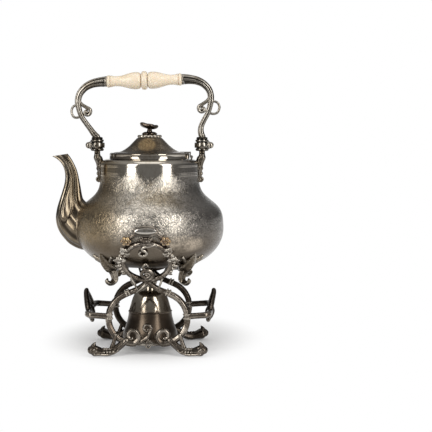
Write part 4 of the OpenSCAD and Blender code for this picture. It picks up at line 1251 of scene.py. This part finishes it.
for side, label in ((-1, "left"), (1, "right")):
    barrel = turned([(3, 5)] + BARREL + [(3, 52)], 96)
    if side < 0:
        moved(barrel, MIRROR_Z)
    piece(f"grip_turning_{label}", moved(barrel, TO_GRIP), "bail", grip_ivory,
          [f"grip_barrel_{label}"], 45)

    pin = turned(PIN_OUTLINE, 48, closed=False)
    turn = Matrix.Translation((side * PIVOT_X, 0, PIVOT_Z)) @ rotation(side * 90, "Y")
    piece(f"pivot_pin_turning_{label}", moved(pin, turn), "bail", cast_silver,
          [f"pivot_pin_{label}"], 40)

bead = moved(turned(BEAD, 96), TO_GRIP)
piece("grip_bead_turning", bead, "bail", grip_ivory, ["grip_bead"], 45)
ferrules = together(turned(FERRULE_OUTLINE, 72), moved(turned(FERRULE_OUTLINE, 72), MIRROR_Z))
piece("grip_end_ferrules", moved(ferrules, TO_GRIP), "bail", cast_silver, ["grip_ferrules"], 40)

# %% [markdown]
# ## Scroll frames
# Each frame is two big C-scrolls that end in coils, with a curl between them and a small pendant below.
# They are drawn as rods, and then melted together, which gives the soft joins of a casting.

# %% Scroll frames
FRAME_Y = 59
SCROLL_X, SCROLL_Z, SCROLL_R = 18.6, 51.2, 35
FRONT = Matrix.Translation((0, -FRAME_Y, 0))
TO_BACK = rotation(180, "Z")


def ribbed(a, s):
    """Five rounded ribs along a casting, faint at both ends."""
    return 1 - 0.1 * abs(math.sin(2.5 * a + 0.4)) ** 6 * min(1.0, 8 * s, 8 * (1 - s))


bark = cast_skin((0.12, 0.28), (0.07, 0.9))


def big_scroll():
    """One C-scroll: it comes down from the cradle ring, sweeps out and round, and ends in a coil."""
    top = smooth([
        (1.5, -10, 106.4, 3.1), (-3.6, -5, 99.6, 3.6), (-14, -0.6, 91.4, 4.0), (-27.4, 0, 85.6, 4.3),
    ], 6)
    sweep = arc(-SCROLL_X, SCROLL_Z, SCROLL_R, SCROLL_R, 116, 262, 4.5, 4.5, 34)
    coil = arc(-22, 26.9, 10.8, 3.6, 275, 632, 4.3, 2.3, 50)
    return rod(top + sweep + coil, sides=40, flute=ribbed)


def scroll_frame():
    curl = smooth([(-20, 0, 16.6, 2.8), (-9, 0, 19, 3.1), (0, 0, 26, 2.8)], 6)
    curl += arc(-1.6, 37, 5.8, 2.6, 0, 330, 2.7, 1.9, 26)
    rod_low = smooth([(2, 0, 20, 1.7), (9, 0, 16.4, 2.2), (18, 0, 15.6, 2.7)], 6)
    pendant = smooth([(0, 0, 22, 1.7), (-2.4, 0, 17, 1.6)], 5) + arc(0.4, 13, 3, 1.8, 160, 430, 1.5, 1.1, 16)
    parts = [big_scroll(), moved(big_scroll(), MIRROR_X)]
    parts += [rod(path, sides=20, flute=ribbed) for path in (curl, rod_low, pendant)]
    return melted(together(*parts), 0.5, 1, bark)


# the back frame gets the finish painted dark as shade
for label, place, finish in (("front", FRONT, front_cast), ("back", TO_BACK @ FRONT, shaded_back_cast)):
    frame_casting = moved(scroll_frame(), place)
    piece(f"{label}_scroll_casting", frame_casting, "stand", finish, [f"{label}_scrolls"])

# %% [markdown]
# ## Cradle rings
# Two leaning rings take the kettle's belly. Each is a vine hoop with leaves up both sides, a bunch of
# gilt grapes on each shoulder, a shell on top with a smooth oval boss, and a rolled volute at its foot.
# Everything is made upright round the ring's middle, and leaned afterwards.

# %% Hoop and leaves
CRADLE_R, CRADLE_Z, CRADLE_Y = 32.5, 131.6, 86.15
CRADLE_LEAN = 36
TO_CRADLE = Matrix.Translation((0, -CRADLE_Y, CRADLE_Z)) @ rotation(CRADLE_LEAN, "X")


def hoop():
    """The ring itself, thicker at its foot than at its top."""
    path = []
    for k in range(97):
        a = math.tau * k / 96
        path.append(Vector((CRADLE_R * math.cos(a), 0, CRADLE_R * math.sin(a), 3.6 - 0.4 * math.sin(a))))
    return melted(rod(path, sides=20, ends=False), 0.55, 1, cast_skin((0.22, 0.3), (0.14, 0.9)))


# along the leaf, off its plane, and half width, for a leaf of length and width 1
BLADE = ((0.2, 0, 0.2), (0.5, -0.6, 0.36), (0.8, -0.4, 0.2))


def veined(a, s):
    """A sharp vein along the middle of a blade."""
    return 1 - 0.12 * math.exp(-((math.sin(a) + 1) / 0.2) ** 2)


def vine_leaf(length, width):
    """A leaf with three lobes, from three blades that share a stalk."""
    blades = []
    for lean, size in ((0, 1.0), (34, 0.72), (-34, 0.72)):
        line = [(length * along * size, lift, 0, width * wide * size) for along, lift, wide in BLADE]
        line = [(0, 0, 0, 0.9)] + line + [(length * size, 0.3, 0, 0.5)]
        blade = rod(smooth(line, 4), sides=16, depth=0.34, flute=veined)
        blades.append(moved(blade, rotation(lean, "Y")))
    return together(*blades)


# each leaf's place round the ring and its lean in degrees, its length and its width
LEAF_SPOTS = (
    (-12, 20, 11, 9), (10, -14, 13, 11), (32, 30, 12, 10), (2, 100, 9, 7), (24, 130, 9, 7), (-30, -10, 8, 7),
)
# each berry's place round the ring in degrees, its distance from the ring's middle and its radius
BERRY_SPOTS = (
    (-24, 36.2, 2.0), (-15, 36.8, 2.4), (-6, 36.4, 2.9), (3, 37.2, 2.6), (12, 36.2, 3.0), (21, 37.0, 2.7),
    (30, 36.0, 2.8), (39, 36.4, 2.3), (7, 31.6, 2.0), (25, 31.4, 2.0),
)


def berry(spot, reach, r):
    a = math.radians(spot)
    return ball(reach * math.cos(a), -2.6, reach * math.sin(a), r)


def vine_sprays():
    """Leaves and berries up both sides of the ring, small ones low down and larger ones on the shoulders."""
    leaves = []
    for mirror in (IN_PLACE, MIRROR_X):
        for spot, lean, length, width in LEAF_SPOTS:
            place = rotation(-spot, "Y") @ Matrix.Translation((CRADLE_R, -2.6, 0))
            leaves.append(moved(vine_leaf(length, width), mirror @ place @ rotation(-lean, "Y")))
        leaves.append(moved(together(*[berry(*spot) for spot in BERRY_SPOTS]), mirror))
    return melted(together(*leaves), 0.42, 1, cast_skin((0.14, 0.7)))


# %% [markdown]
# The grapes and the shell sit on the upper half of the ring. The oval boss is turned back upright, so it
# faces straight to the front.

# %% Grapes and shell
GRAPES_AT = (26.2, 0.8, 35.2)


def grape_bunches():
    """Six grapes round a seventh, on each shoulder of the ring."""
    balls = []
    for side in (-1, 1):
        x, y, z = side * GRAPES_AT[0], GRAPES_AT[1], GRAPES_AT[2]
        for k in range(6):
            b = math.tau * k / 6
            balls.append(ball(x + 4.8 * math.cos(b), y, z + 4.8 * math.sin(b), 3.0))
        balls.append(ball(x, y - 1.4, z, 2.4))
    return together(*balls)


BRANCH_LINE = [
    (32, -1, 8, 1.7), (31.4, 0, 19, 2.1), (27.6, 2, 30, 2.4), (21, 4.4, 38.6, 2.4), (12, 5.8, 43, 2.5),
    (0, 6.4, 44.6, 2.9),
]
LOBE_LINE = [(0, 0, 0, 1.6), (4, 1.4, 0, 2.3), (7.6, 3.2, 0, 2.2), (9.6, 4.2, 0, 1.0)]
BOSS_PLACE = Matrix.Translation((0, 5.2, 49.2)) @ rotation(-CRADLE_LEAN, "X")
BOSS_LINE = [(-14.8, 0, 0, 1.2), (-9.4, 0, 0, 3.7), (0, 0, 0, 4.7), (9.4, 0, 0, 3.7), (14.8, 0, 0, 1.2)]


def oval_boss():
    """The smooth boss, upright in its frame."""
    return moved(rod(smooth(BOSS_LINE, 10), sides=48, depth=0.46), BOSS_PLACE)


def shell_palmette():
    """Two branches that meet over the ring, a fan of lobes, and the thin oval frame of the boss."""
    branches, lobes, rim_line = [], [], []
    for mirror in (IN_PLACE, MIRROR_X):
        branches.append(moved(rod(smooth(BRANCH_LINE, 6), sides=18, flute=ribbed), mirror))
    for k in range(5):
        fan = Matrix.Translation((0, -0.6, CRADLE_R - 1)) @ rotation(-(90 + 26 * (k - 2)), "Y")
        lobes.append(moved(rod(smooth(LOBE_LINE, 5), sides=18, depth=0.8), fan))
    for k in range(49):
        a = math.tau * k / 48
        rim_line.append(Vector((16.2 * math.cos(a), 0, 5.8 * math.sin(a), 1.6)))
    rim = rod(rim_line, sides=12, ends=False)
    return melted(together(*branches, *lobes, moved(rim, BOSS_PLACE)), 0.42, 1)


# %% [markdown]
# The curls are single rods: the volute under the ring, the scroll inside it, and the tendrils between the
# ring and the frame.


# %% Curls
def rolled_volute():
    """A leaf rolled up under the ring: a thick coil round a small bud, and the tip that curls up from it."""
    path = []
    for k in range(46):
        reach, a = 9.6 - 0.15 * k, math.radians(-80 + 12.5 * k)
        x, z = -1 + reach * math.cos(a), -20.5 + reach * math.sin(a)
        path.append(Vector((x, -2.4 - 0.03 * k, z, 3.3 - 0.04 * k)))
    bud = ball(-1, -3.4, -20.5, 2.2)
    tip = smooth([
        (-3, -2.4, -13, 2.2), (-5, -2.6, -6.6, 2.0), (-1.4, -2.6, -2.2, 1.7), (1.6, -2.6, -5.4, 1.2),
    ], 6)
    return melted(together(rod(path, sides=18), bud, rod(tip, sides=16)), 0.45, 1, bark)


def inner_curl():
    """The scroll that hangs inside the ring from a thin stem."""
    line = [
        (13, -2, 32.6, 1.6), (7, -2, 29.6, 1.6), (0.6, -2, 28.6, 1.8), (-4.6, -2, 26.2, 2.0),
        (-4.6, -2, 22.6, 2.0), (-1.0, -2, 20.2, 2.1), (0.6, -2, 16.4, 2.1), (-2.0, -2, 12.8, 2.0),
        (-6.8, -2, 12.6, 1.9), (-9.4, -2, 16.0, 1.6), (-7.6, -2, 19.0, 1.3),
    ]
    return rod(smooth(line, 6), sides=16)


def tendrils():
    """Thin stems between the ring and the scrolls, and one long leaf."""
    left = smooth([(-24, -15, 113, 1.5), (-19, -13, 103, 1.5), (-15.6, -6, 95, 1.4), (-12.6, -2, 88, 1)], 6)
    right = smooth([(21, -13, 111, 1.5), (18.4, -10, 102, 1.5), (14.6, -3, 92, 1.1)], 6)
    leaf = smooth([
        (8, -1, 108, 2.0), (3.4, -4, 103, 3.0), (-1, -4.6, 99, 3.9), (-7.6, -4, 93.2, 3.6),
        (-14.3, -2, 88, 2.0),
    ], 6)
    return together(rod(left, sides=14), rod(right, sides=14), rod(leaf, sides=24, flute=ribbed))


# %% [markdown]
# The same pieces serve both rings. The back ones are turned round, and have the finish painted dark as shade.

# %% Both cradle rings
for label, turn, finish, leafy in (
    ("front", IN_PLACE, front_cast, lit_leaf_cast), ("back", TO_BACK, shaded_back_cast, shaded_back_cast),
):
    at_ring = turn @ TO_CRADLE
    for name, bm, look, slot_name, nodes in (
        ("vine_hoop", hoop(), finish, "cast_silver", [f"{label}_cradle"]),
        ("vine_leaves", vine_sprays(), leafy, "cast_silver", [f"{label}_vines"]),
        ("grape_bunches", grape_bunches(), gilt, "gilt_silver", [f"{label}_grapes"]),
        ("shell", shell_palmette(), finish, "cast_silver", [f"{label}_palmette"]),
        ("oval_boss", oval_boss(), boss_silver, "cast_silver", []),
        ("volute", rolled_volute(), finish, "cast_silver", [f"{label}_boss"]),
    ):
        piece(f"{label}_{name}", moved(bm, at_ring), "stand", look, nodes)
    curls = together(moved(tendrils(), turn @ FRONT), moved(inner_curl(), at_ring))
    piece(f"{label}_tendril_curls", curls, "stand", finish, [f"{label}_tendrils"])

# %% [markdown]
# ## Stand feet
# A leg leaves the scroll, runs out along the table and swells to a blunt head, whose crest curls back to
# a point. A row of beads decorates its back.

# %% Stand feet
STAND_FOOT = [
    (30, 0, 21, 4.4), (38, 0, 14.4, 5.0), (46, 0, 8.6, 5.1), (54, 0, 5.4, 4.9), (61, 0, 5.4, 5.0),
    (68, 0, 7.4, 6.6), (73.6, 0, 8.8, 7.8), (77.6, 0, 9.6, 5.8),
]
HORN_LINE = [(75.6, 0, 12.6, 4.8), (74.4, 0, 16.6, 3.0), (72.0, 0, 20.2, 0.7)]
ANKLE_LINE = [(44.5, 0, 29, 2.8), (46.4, 0, 21, 2.7), (50.5, 0, 10, 3.2)]
FIN_LINE = [
    (40, -4.2, 12.6, 1.4), (46, -5.6, 6.0, 1.8), (56, -6.4, 3.4, 1.6), (66, -7.6, 4.0, 1.5),
    (75, -8.2, 5.0, 1.1),
]
FOOT_SPLAY = 15
FOOT_ROOT = Matrix.Translation((30, 0, 0))


def stand_foot():
    """A leg, a sole with a blunt head and a horn, a second stem at the ankle, and beads along it."""
    leg = rod(smooth(STAND_FOOT, 8), sides=30, depth=1.25, flute=ribbed)
    horn = rod(smooth(HORN_LINE, 6), sides=18)
    ankle = rod(smooth(ANKLE_LINE, 6), sides=18)
    beads = [ball(50 + 3.8 * k, -2.4, 9.8 + 0.2 * k, 2.3) for k in range(5)]
    low_beads = [ball(49.0 + 4.2 * k, -5.6, 6.6, 1.8) for k in range(5)]
    eye = ball(75.0, -7.2, 10.8, 2.0)
    fin = rod(smooth(FIN_LINE, 5), sides=12)
    skin = melted(together(leg, horn, ankle, eye, fin, *beads, *low_beads), 0.5, 1, bark)
    everything = skin.verts[:] + skin.edges[:] + skin.faces[:]
    bmesh.ops.bisect_plane(skin, geom=everything, plane_co=(0, 0, 0), plane_no=(0, 0, -1), clear_outer=True)
    bmesh.ops.holes_fill(skin, edges=[e for e in skin.edges if e.is_boundary], sides=0)
    return moved(skin, FOOT_ROOT @ rotation(-FOOT_SPLAY, "Z") @ FOOT_ROOT.inverted())


# the back feet get the finish painted dark as shade
FOOT_PLACES = (
    (FRONT @ MIRROR_X, front_cast), (FRONT, front_cast), (TO_BACK @ FRONT @ MIRROR_X, shaded_back_cast),
    (TO_BACK @ FRONT, shaded_back_cast),
)
for number, (place, finish) in enumerate(FOOT_PLACES, 1):
    piece(f"stand_foot_casting_{number}", moved(stand_foot(), place), "stand", finish,
          [f"stand_foot_{number}"])

# %% [markdown]
# ## Side rails
# A rail on each side ties the front frame to the back one. A pointed arch stands on it and a leaf hangs
# below, so the stand can be lifted from the sides.

# %% Side rails
RAIL_LINE = [
    (54, -FRAME_Y, 53.8, 4.3), (70, -FRAME_Y, 55.0, 4.3), (79.0, -FRAME_Y + 1, 55.6, 4.5),
    (82.8, -FRAME_Y + 8, 56.0, 4.5), (84.0, -30, 55.6, 4.2), (84.6, 0, 54.6, 4.2), (84.0, 30, 55.6, 4.2),
    (82.8, FRAME_Y - 8, 56.0, 4.5), (79.0, FRAME_Y - 1, 55.6, 4.5), (70, FRAME_Y, 55.0, 4.3),
    (54, FRAME_Y, 53.8, 4.3),
]
ARCH_LINE = [
    (84, 28, 56, 4.0), (86, 23, 64, 4.2), (88, 14, 72.4, 4.0), (89.6, 4.6, 79.0, 3.7), (89.6, 0, 82.4, 3.2),
]
ARCH_CURL = [(85, 12, 58.4, 1.6), (86.4, 13.4, 64, 1.7), (87.2, 9.6, 67.8, 1.6), (86.8, 6, 65.4, 1.2)]
HANGING_LEAF = [(85.8, 0, 62, 5), (84.4, 0, 54, 9.0), (82.8, 0, 46, 7.8), (82.0, 0, 41.4, 4.6)]


def to_side(line, side):
    """A line of (x, y, z, radius) on the front or on the back half of the arch."""
    return [(x, side * y, z, r) for x, y, z, r in line]


def side_rail():
    """A rail that turns in from frame to frame, an arch that leans out, small curls and a hanging leaf."""
    parts = [rod(smooth(RAIL_LINE, 7), sides=30, ref=(0, 0, 1), flute=ribbed)]
    for side in (-1, 1):
        parts.append(rod(smooth(to_side(ARCH_LINE, side), 6), sides=22, ref=(1, 0, 0), flute=ribbed))
        parts.append(rod(smooth(to_side(ARCH_CURL, side), 5), sides=12, ref=(1, 0, 0)))
    leaf = rod(smooth(HANGING_LEAF, 8), sides=36, ref=(1, 0, 0), depth=0.7, flute=lobed(7, 0.08))
    return melted(together(*parts, leaf), 0.55, 1, bark)


piece("side_rail_right", side_rail(), "stand", rail_cast, ["side_handle_right"])
piece("side_rail_left", moved(side_rail(), MIRROR_X), "stand", rail_cast, ["side_handle_left"])

# %% [markdown]
# ## Collars and lamp ring
# Small beaded collars hide the joins of the rails and scrolls. The lamp stands in a plain ring that hangs
# on four rods.


# %% Collars and lamp ring
def beaded_collar(radius, length):
    """A short sleeve with a row of twelve beads at each end."""
    end, r = length / 2, radius
    outline = [
        (0, -end), (r - 1.2, -end), (r - 0.9, -end / 2), (r - 1.3, 0), (r - 0.9, end / 2), (r - 1.2, end),
        (0, end),
    ]
    parts = [turned(outline, 40, closed=False)]
    for z in (1.2 - end, end - 1.2):
        for k in range(12):
            a = math.tau * k / 12
            parts.append(ball((r - 1.2) * math.cos(a), (r - 1.2) * math.sin(a), z, 1.2))
    return together(*parts)


AT_RAIL = Matrix.Translation((SCROLL_X + SCROLL_R - 0.4, 0, 53.6))
AT_SCROLL = Matrix.Translation((27.6, 0, 86.4)) @ rotation(-68, "Y")


def collar_set():
    made = []
    for turn in (IN_PLACE, TO_BACK):
        for mirror in (IN_PLACE, MIRROR_X):
            made.append(moved(beaded_collar(5.8, 8), turn @ FRONT @ mirror @ AT_RAIL))
            made.append(moved(beaded_collar(5.4, 6.4), turn @ FRONT @ mirror @ AT_SCROLL))
    return together(*made)


piece("beaded_collars", collar_set(), "stand", rail_cast, ["bar_collars"])

RING_OUTLINE = [
    (30.3, 9), (36.7, 9), (37, 9.4), (37, 12.1), (36.7, 12.5), (30.3, 12.5), (30, 12.1), (30, 9.4),
]
ROD_LINE = [(19, 27, 10.75, 1.6), (19, 42, 10.8, 1.6), (19, 50, 12.9, 1.6), (19, 58.5, 15.6, 1.6)]


def lamp_ring():
    """A flat ring on four rods, with a small ball where each rod meets it."""
    parts = [turned(RING_OUTLINE, 96)]
    for side in (-1, 1):
        for back in (-1, 1):
            line = [(side * x, back * y, z, r) for x, y, z, r in ROD_LINE]
            parts.append(rod(smooth(line, 5), sides=14, ref=(1, 0, 0)))
            parts.append(ball(side * 19, back * 42, 10.75, 2.1))
    return together(*parts)


piece("lamp_ring_casting", lamp_ring(), "stand", rail_cast, ["lamp_ring"])

# %% [markdown]
# ## Spirit lamp
# The lamp is a spun bell with a fine band where its two halves meet, on a foot rim, with a turned collar
# that holds the wick tube.

# %% Spirit lamp
LAMP_R = 39
DRAWN_R = 39.4
LAMP_OUTLINE = [
    (39, 14.6), (39.4, 17), (39, 20), (37.4, 26), (34.4, 34), (31.6, 44), (30.5, 51), (30.4, 52),
    (31.1, 52.5), (31.1, 53.5), (30.2, 54), (29.2, 57), (27.9, 62), (26.0, 68.4), (24.0, 73.6),
    (21.4, 78.4), (17.8, 81.6), (13, 83), (9.4, 83),
]


def lamp_bell():
    """The bell with its wall: up outside, back down inside and across the floor."""
    outer = [(p.x * LAMP_R / DRAWN_R, p.y) for p in smooth([Vector((r, z, 0)) for r, z in LAMP_OUTLINE], 4)]
    inner = [(r - 1.3, z - 0.7) for r, z in outer[4:-2:3]]
    return turned([(0, 14.6)] + outer + [(7.6, 83), (7.6, 81.4)] + inner[::-1] + [(0, 16.2)], 128, closed=False)


piece("lamp_bell", lamp_bell(), "lamp", lamp_silver, ["lamp_reservoir"], 40)
lamp_collar = [
    (6.6, 83), (9.4, 83), (9.0, 85), (8.5, 88), (8.5, 90.4), (9.6, 92.4), (9.8, 93.4), (9.8, 94.6),
    (9.4, 95), (7.6, 95), (6.6, 90),
]
piece("lamp_top_collar", turned(lamp_collar, 64), "lamp", lamp_silver, ["lamp_collar"], 40)

# %% [markdown]
# ## Finish on the solids that stay
# Some solids already have their final shape: the hinge, the pins, the plates inside. They only get their
# finish.

# %% Finish on the solids that stay
FINISHES = {
    "silver_plate": plain_silver, "cast_silver": front_cast, "gilt_silver": gilt, "grip_ivory": grip_ivory,
    "wick": wick_cotton,
}
slots = {entry["node"]: entry["material_slot"] for entry in frame["record"]["subparts"]}
for name, solid in frame["nodes"].items():
    solid.data.materials.clear()
    # the kettle's bottom gets soot and painted shade
    solid.data.materials.append(soot_and_shade_silver if name == "kettle_bottom" else FINISHES[slots[name]])
print("solids", len(frame["nodes"]), "pieces", len(PIECES), "faces", sum(len(p.data.polygons) for p in PIECES))

# %% [markdown]
# ## Floor, backdrop and light
# The floor is a wide white sheet that takes the object's shadow a little behind the middle and fades to
# plain white further out. Two tall softboxes stand in front, left and right, and give the two bright stripes on the
# neck. The room behind the camera is dim, which gives the silver something dark to mirror.

# %% Floor
FLOOR_WIDTH = 8
FLOOR_FRONT = -0.55
FLOOR_BACK = 6
# the grey patch: its middle, how much it is stretched, and where it begins and ends to fade
GREY_MIDDLE = (0, 0.09, 0)
GREY_STRETCH = (1.0, 0.66, 1)
GREY_FADE = (0.08, 0.17)


def pale_floor():
    bm = bmesh.new()
    bmesh.ops.create_grid(bm, x_segments=2, y_segments=2, size=0.5)
    bmesh.ops.scale(bm, vec=(FLOOR_WIDTH, FLOOR_BACK - FLOOR_FRONT, 1), verts=bm.verts)
    bmesh.ops.translate(bm, vec=(0, (FLOOR_BACK + FLOOR_FRONT) / 2, 0), verts=bm.verts)
    floor = as_object(bm, "floor")
    material, tree, shader = new_material("pale floor")
    place = add(tree, "ShaderNodeTexCoord").outputs["Object"]
    behind = add(tree, "ShaderNodeVectorMath", {0: place, 1: GREY_MIDDLE}, operation="SUBTRACT").outputs[0]
    behind = add(tree, "ShaderNodeVectorMath", {0: behind, 1: GREY_STRETCH}, operation="MULTIPLY").outputs[0]
    distance = add(tree, "ShaderNodeVectorMath", {0: behind}, operation="LENGTH").outputs["Value"]
    white = add(tree, "ShaderNodeEmission", {"Color": (1, 1, 1, 1), "Strength": 1.0}).outputs[0]
    shader.inputs["Base Color"].default_value = (0.9, 0.9, 0.9, 1)
    shader.inputs["Roughness"].default_value = 0.9
    shader.inputs["Specular IOR Level"].default_value = 0.1
    path = add(tree, "ShaderNodeLightPath").outputs
    seen = calc(tree, "MAXIMUM", path["Is Camera Ray"], path["Is Glossy Ray"])
    seen = calc(tree, "MAXIMUM", seen, path["Is Transmission Ray"])
    white_share = calc(tree, "ADD", 0.1, calc(tree, "MULTIPLY", ramp(tree, distance, *GREY_FADE), 0.9))
    share = calc(tree, "MULTIPLY", white_share, seen)
    blend = add(tree, "ShaderNodeMixShader", {0: share, 1: shader.outputs[0], 2: white})
    tree.links.new(blend.outputs[0], tree.nodes["Material Output"].inputs["Surface"])
    floor.data.materials.append(material)


pale_floor()

# %% [markdown]
# The backdrop is white to the camera and behind the object, and a dim room to everything that mirrors it.


# %% Backdrop
def studio_world():
    world = bpy.data.worlds.new("studio")
    bpy.context.scene.world = world
    world.use_nodes = True
    tree = world.node_tree
    direction = add(tree, "ShaderNodeTexCoord").outputs["Generated"]
    _, y, z = add(tree, "ShaderNodeSeparateXYZ", {0: direction}).outputs
    path = add(tree, "ShaderNodeLightPath").outputs
    behind = ramp(tree, y, 0.94, 0.995)
    ahead = calc(tree, "MULTIPLY", ramp(tree, y, -0.8, -1.0), 0.04)
    above = calc(tree, "MULTIPLY", ramp(tree, z, 0.25, 0.95), 0.3)
    room = calc(tree, "ADD", calc(tree, "ADD", 0.17, ahead), above)
    mirrored = calc(tree, "MAXIMUM", behind, room)
    seen_in_silver = calc(tree, "MAXIMUM", path["Is Glossy Ray"], path["Is Transmission Ray"])
    lit = add(tree, "ShaderNodeMix", {0: seen_in_silver, 2: 0.5, 3: mirrored}).outputs[0]
    strength = calc(tree, "MAXIMUM", path["Is Camera Ray"], lit)
    background = tree.nodes["Background"]
    background.inputs["Color"].default_value = (1, 1, 1, 1)
    tree.links.new(strength, background.inputs["Strength"])


studio_world()

# %% [markdown]
# Each softbox is an area lamp that faces the kettle. Its height and width are those of the stripes it
# leaves on the neck.


# %% Softboxes
def softbox(name, azimuth, distance, height, size, power):
    lamp = bpy.data.lights.new(name, "AREA")
    lamp.shape = "RECTANGLE"
    lamp.size, lamp.size_y = size
    lamp.energy = power
    lamp.color = (1.0, 0.99, 0.97)
    made = bpy.data.objects.new(name, lamp)
    a = math.radians(azimuth)
    made.location = (distance * math.sin(a), -distance * math.cos(a), height)
    aim = Vector((0, 0, 0.2)) - made.location
    made.rotation_euler = aim.to_track_quat("-Z", "Y").to_euler()
    bpy.context.scene.collection.objects.link(made)


softbox("left softbox", -39, 1.5, 0.72, (0.56, 1.3), 11)
softbox("right softbox", 43, 1.5, 0.72, (0.56, 1.3), 13)
softbox("overhead softbox", 0, 0.2, 1.6, (0.9, 1.0), 3.5)

# %% [markdown]
# ## Finish
# The view shows the plain colours, and the scene is brought up to date.

# %% Finish
bpy.context.scene.view_settings.view_transform = "Standard"
bpy.context.view_layer.update()
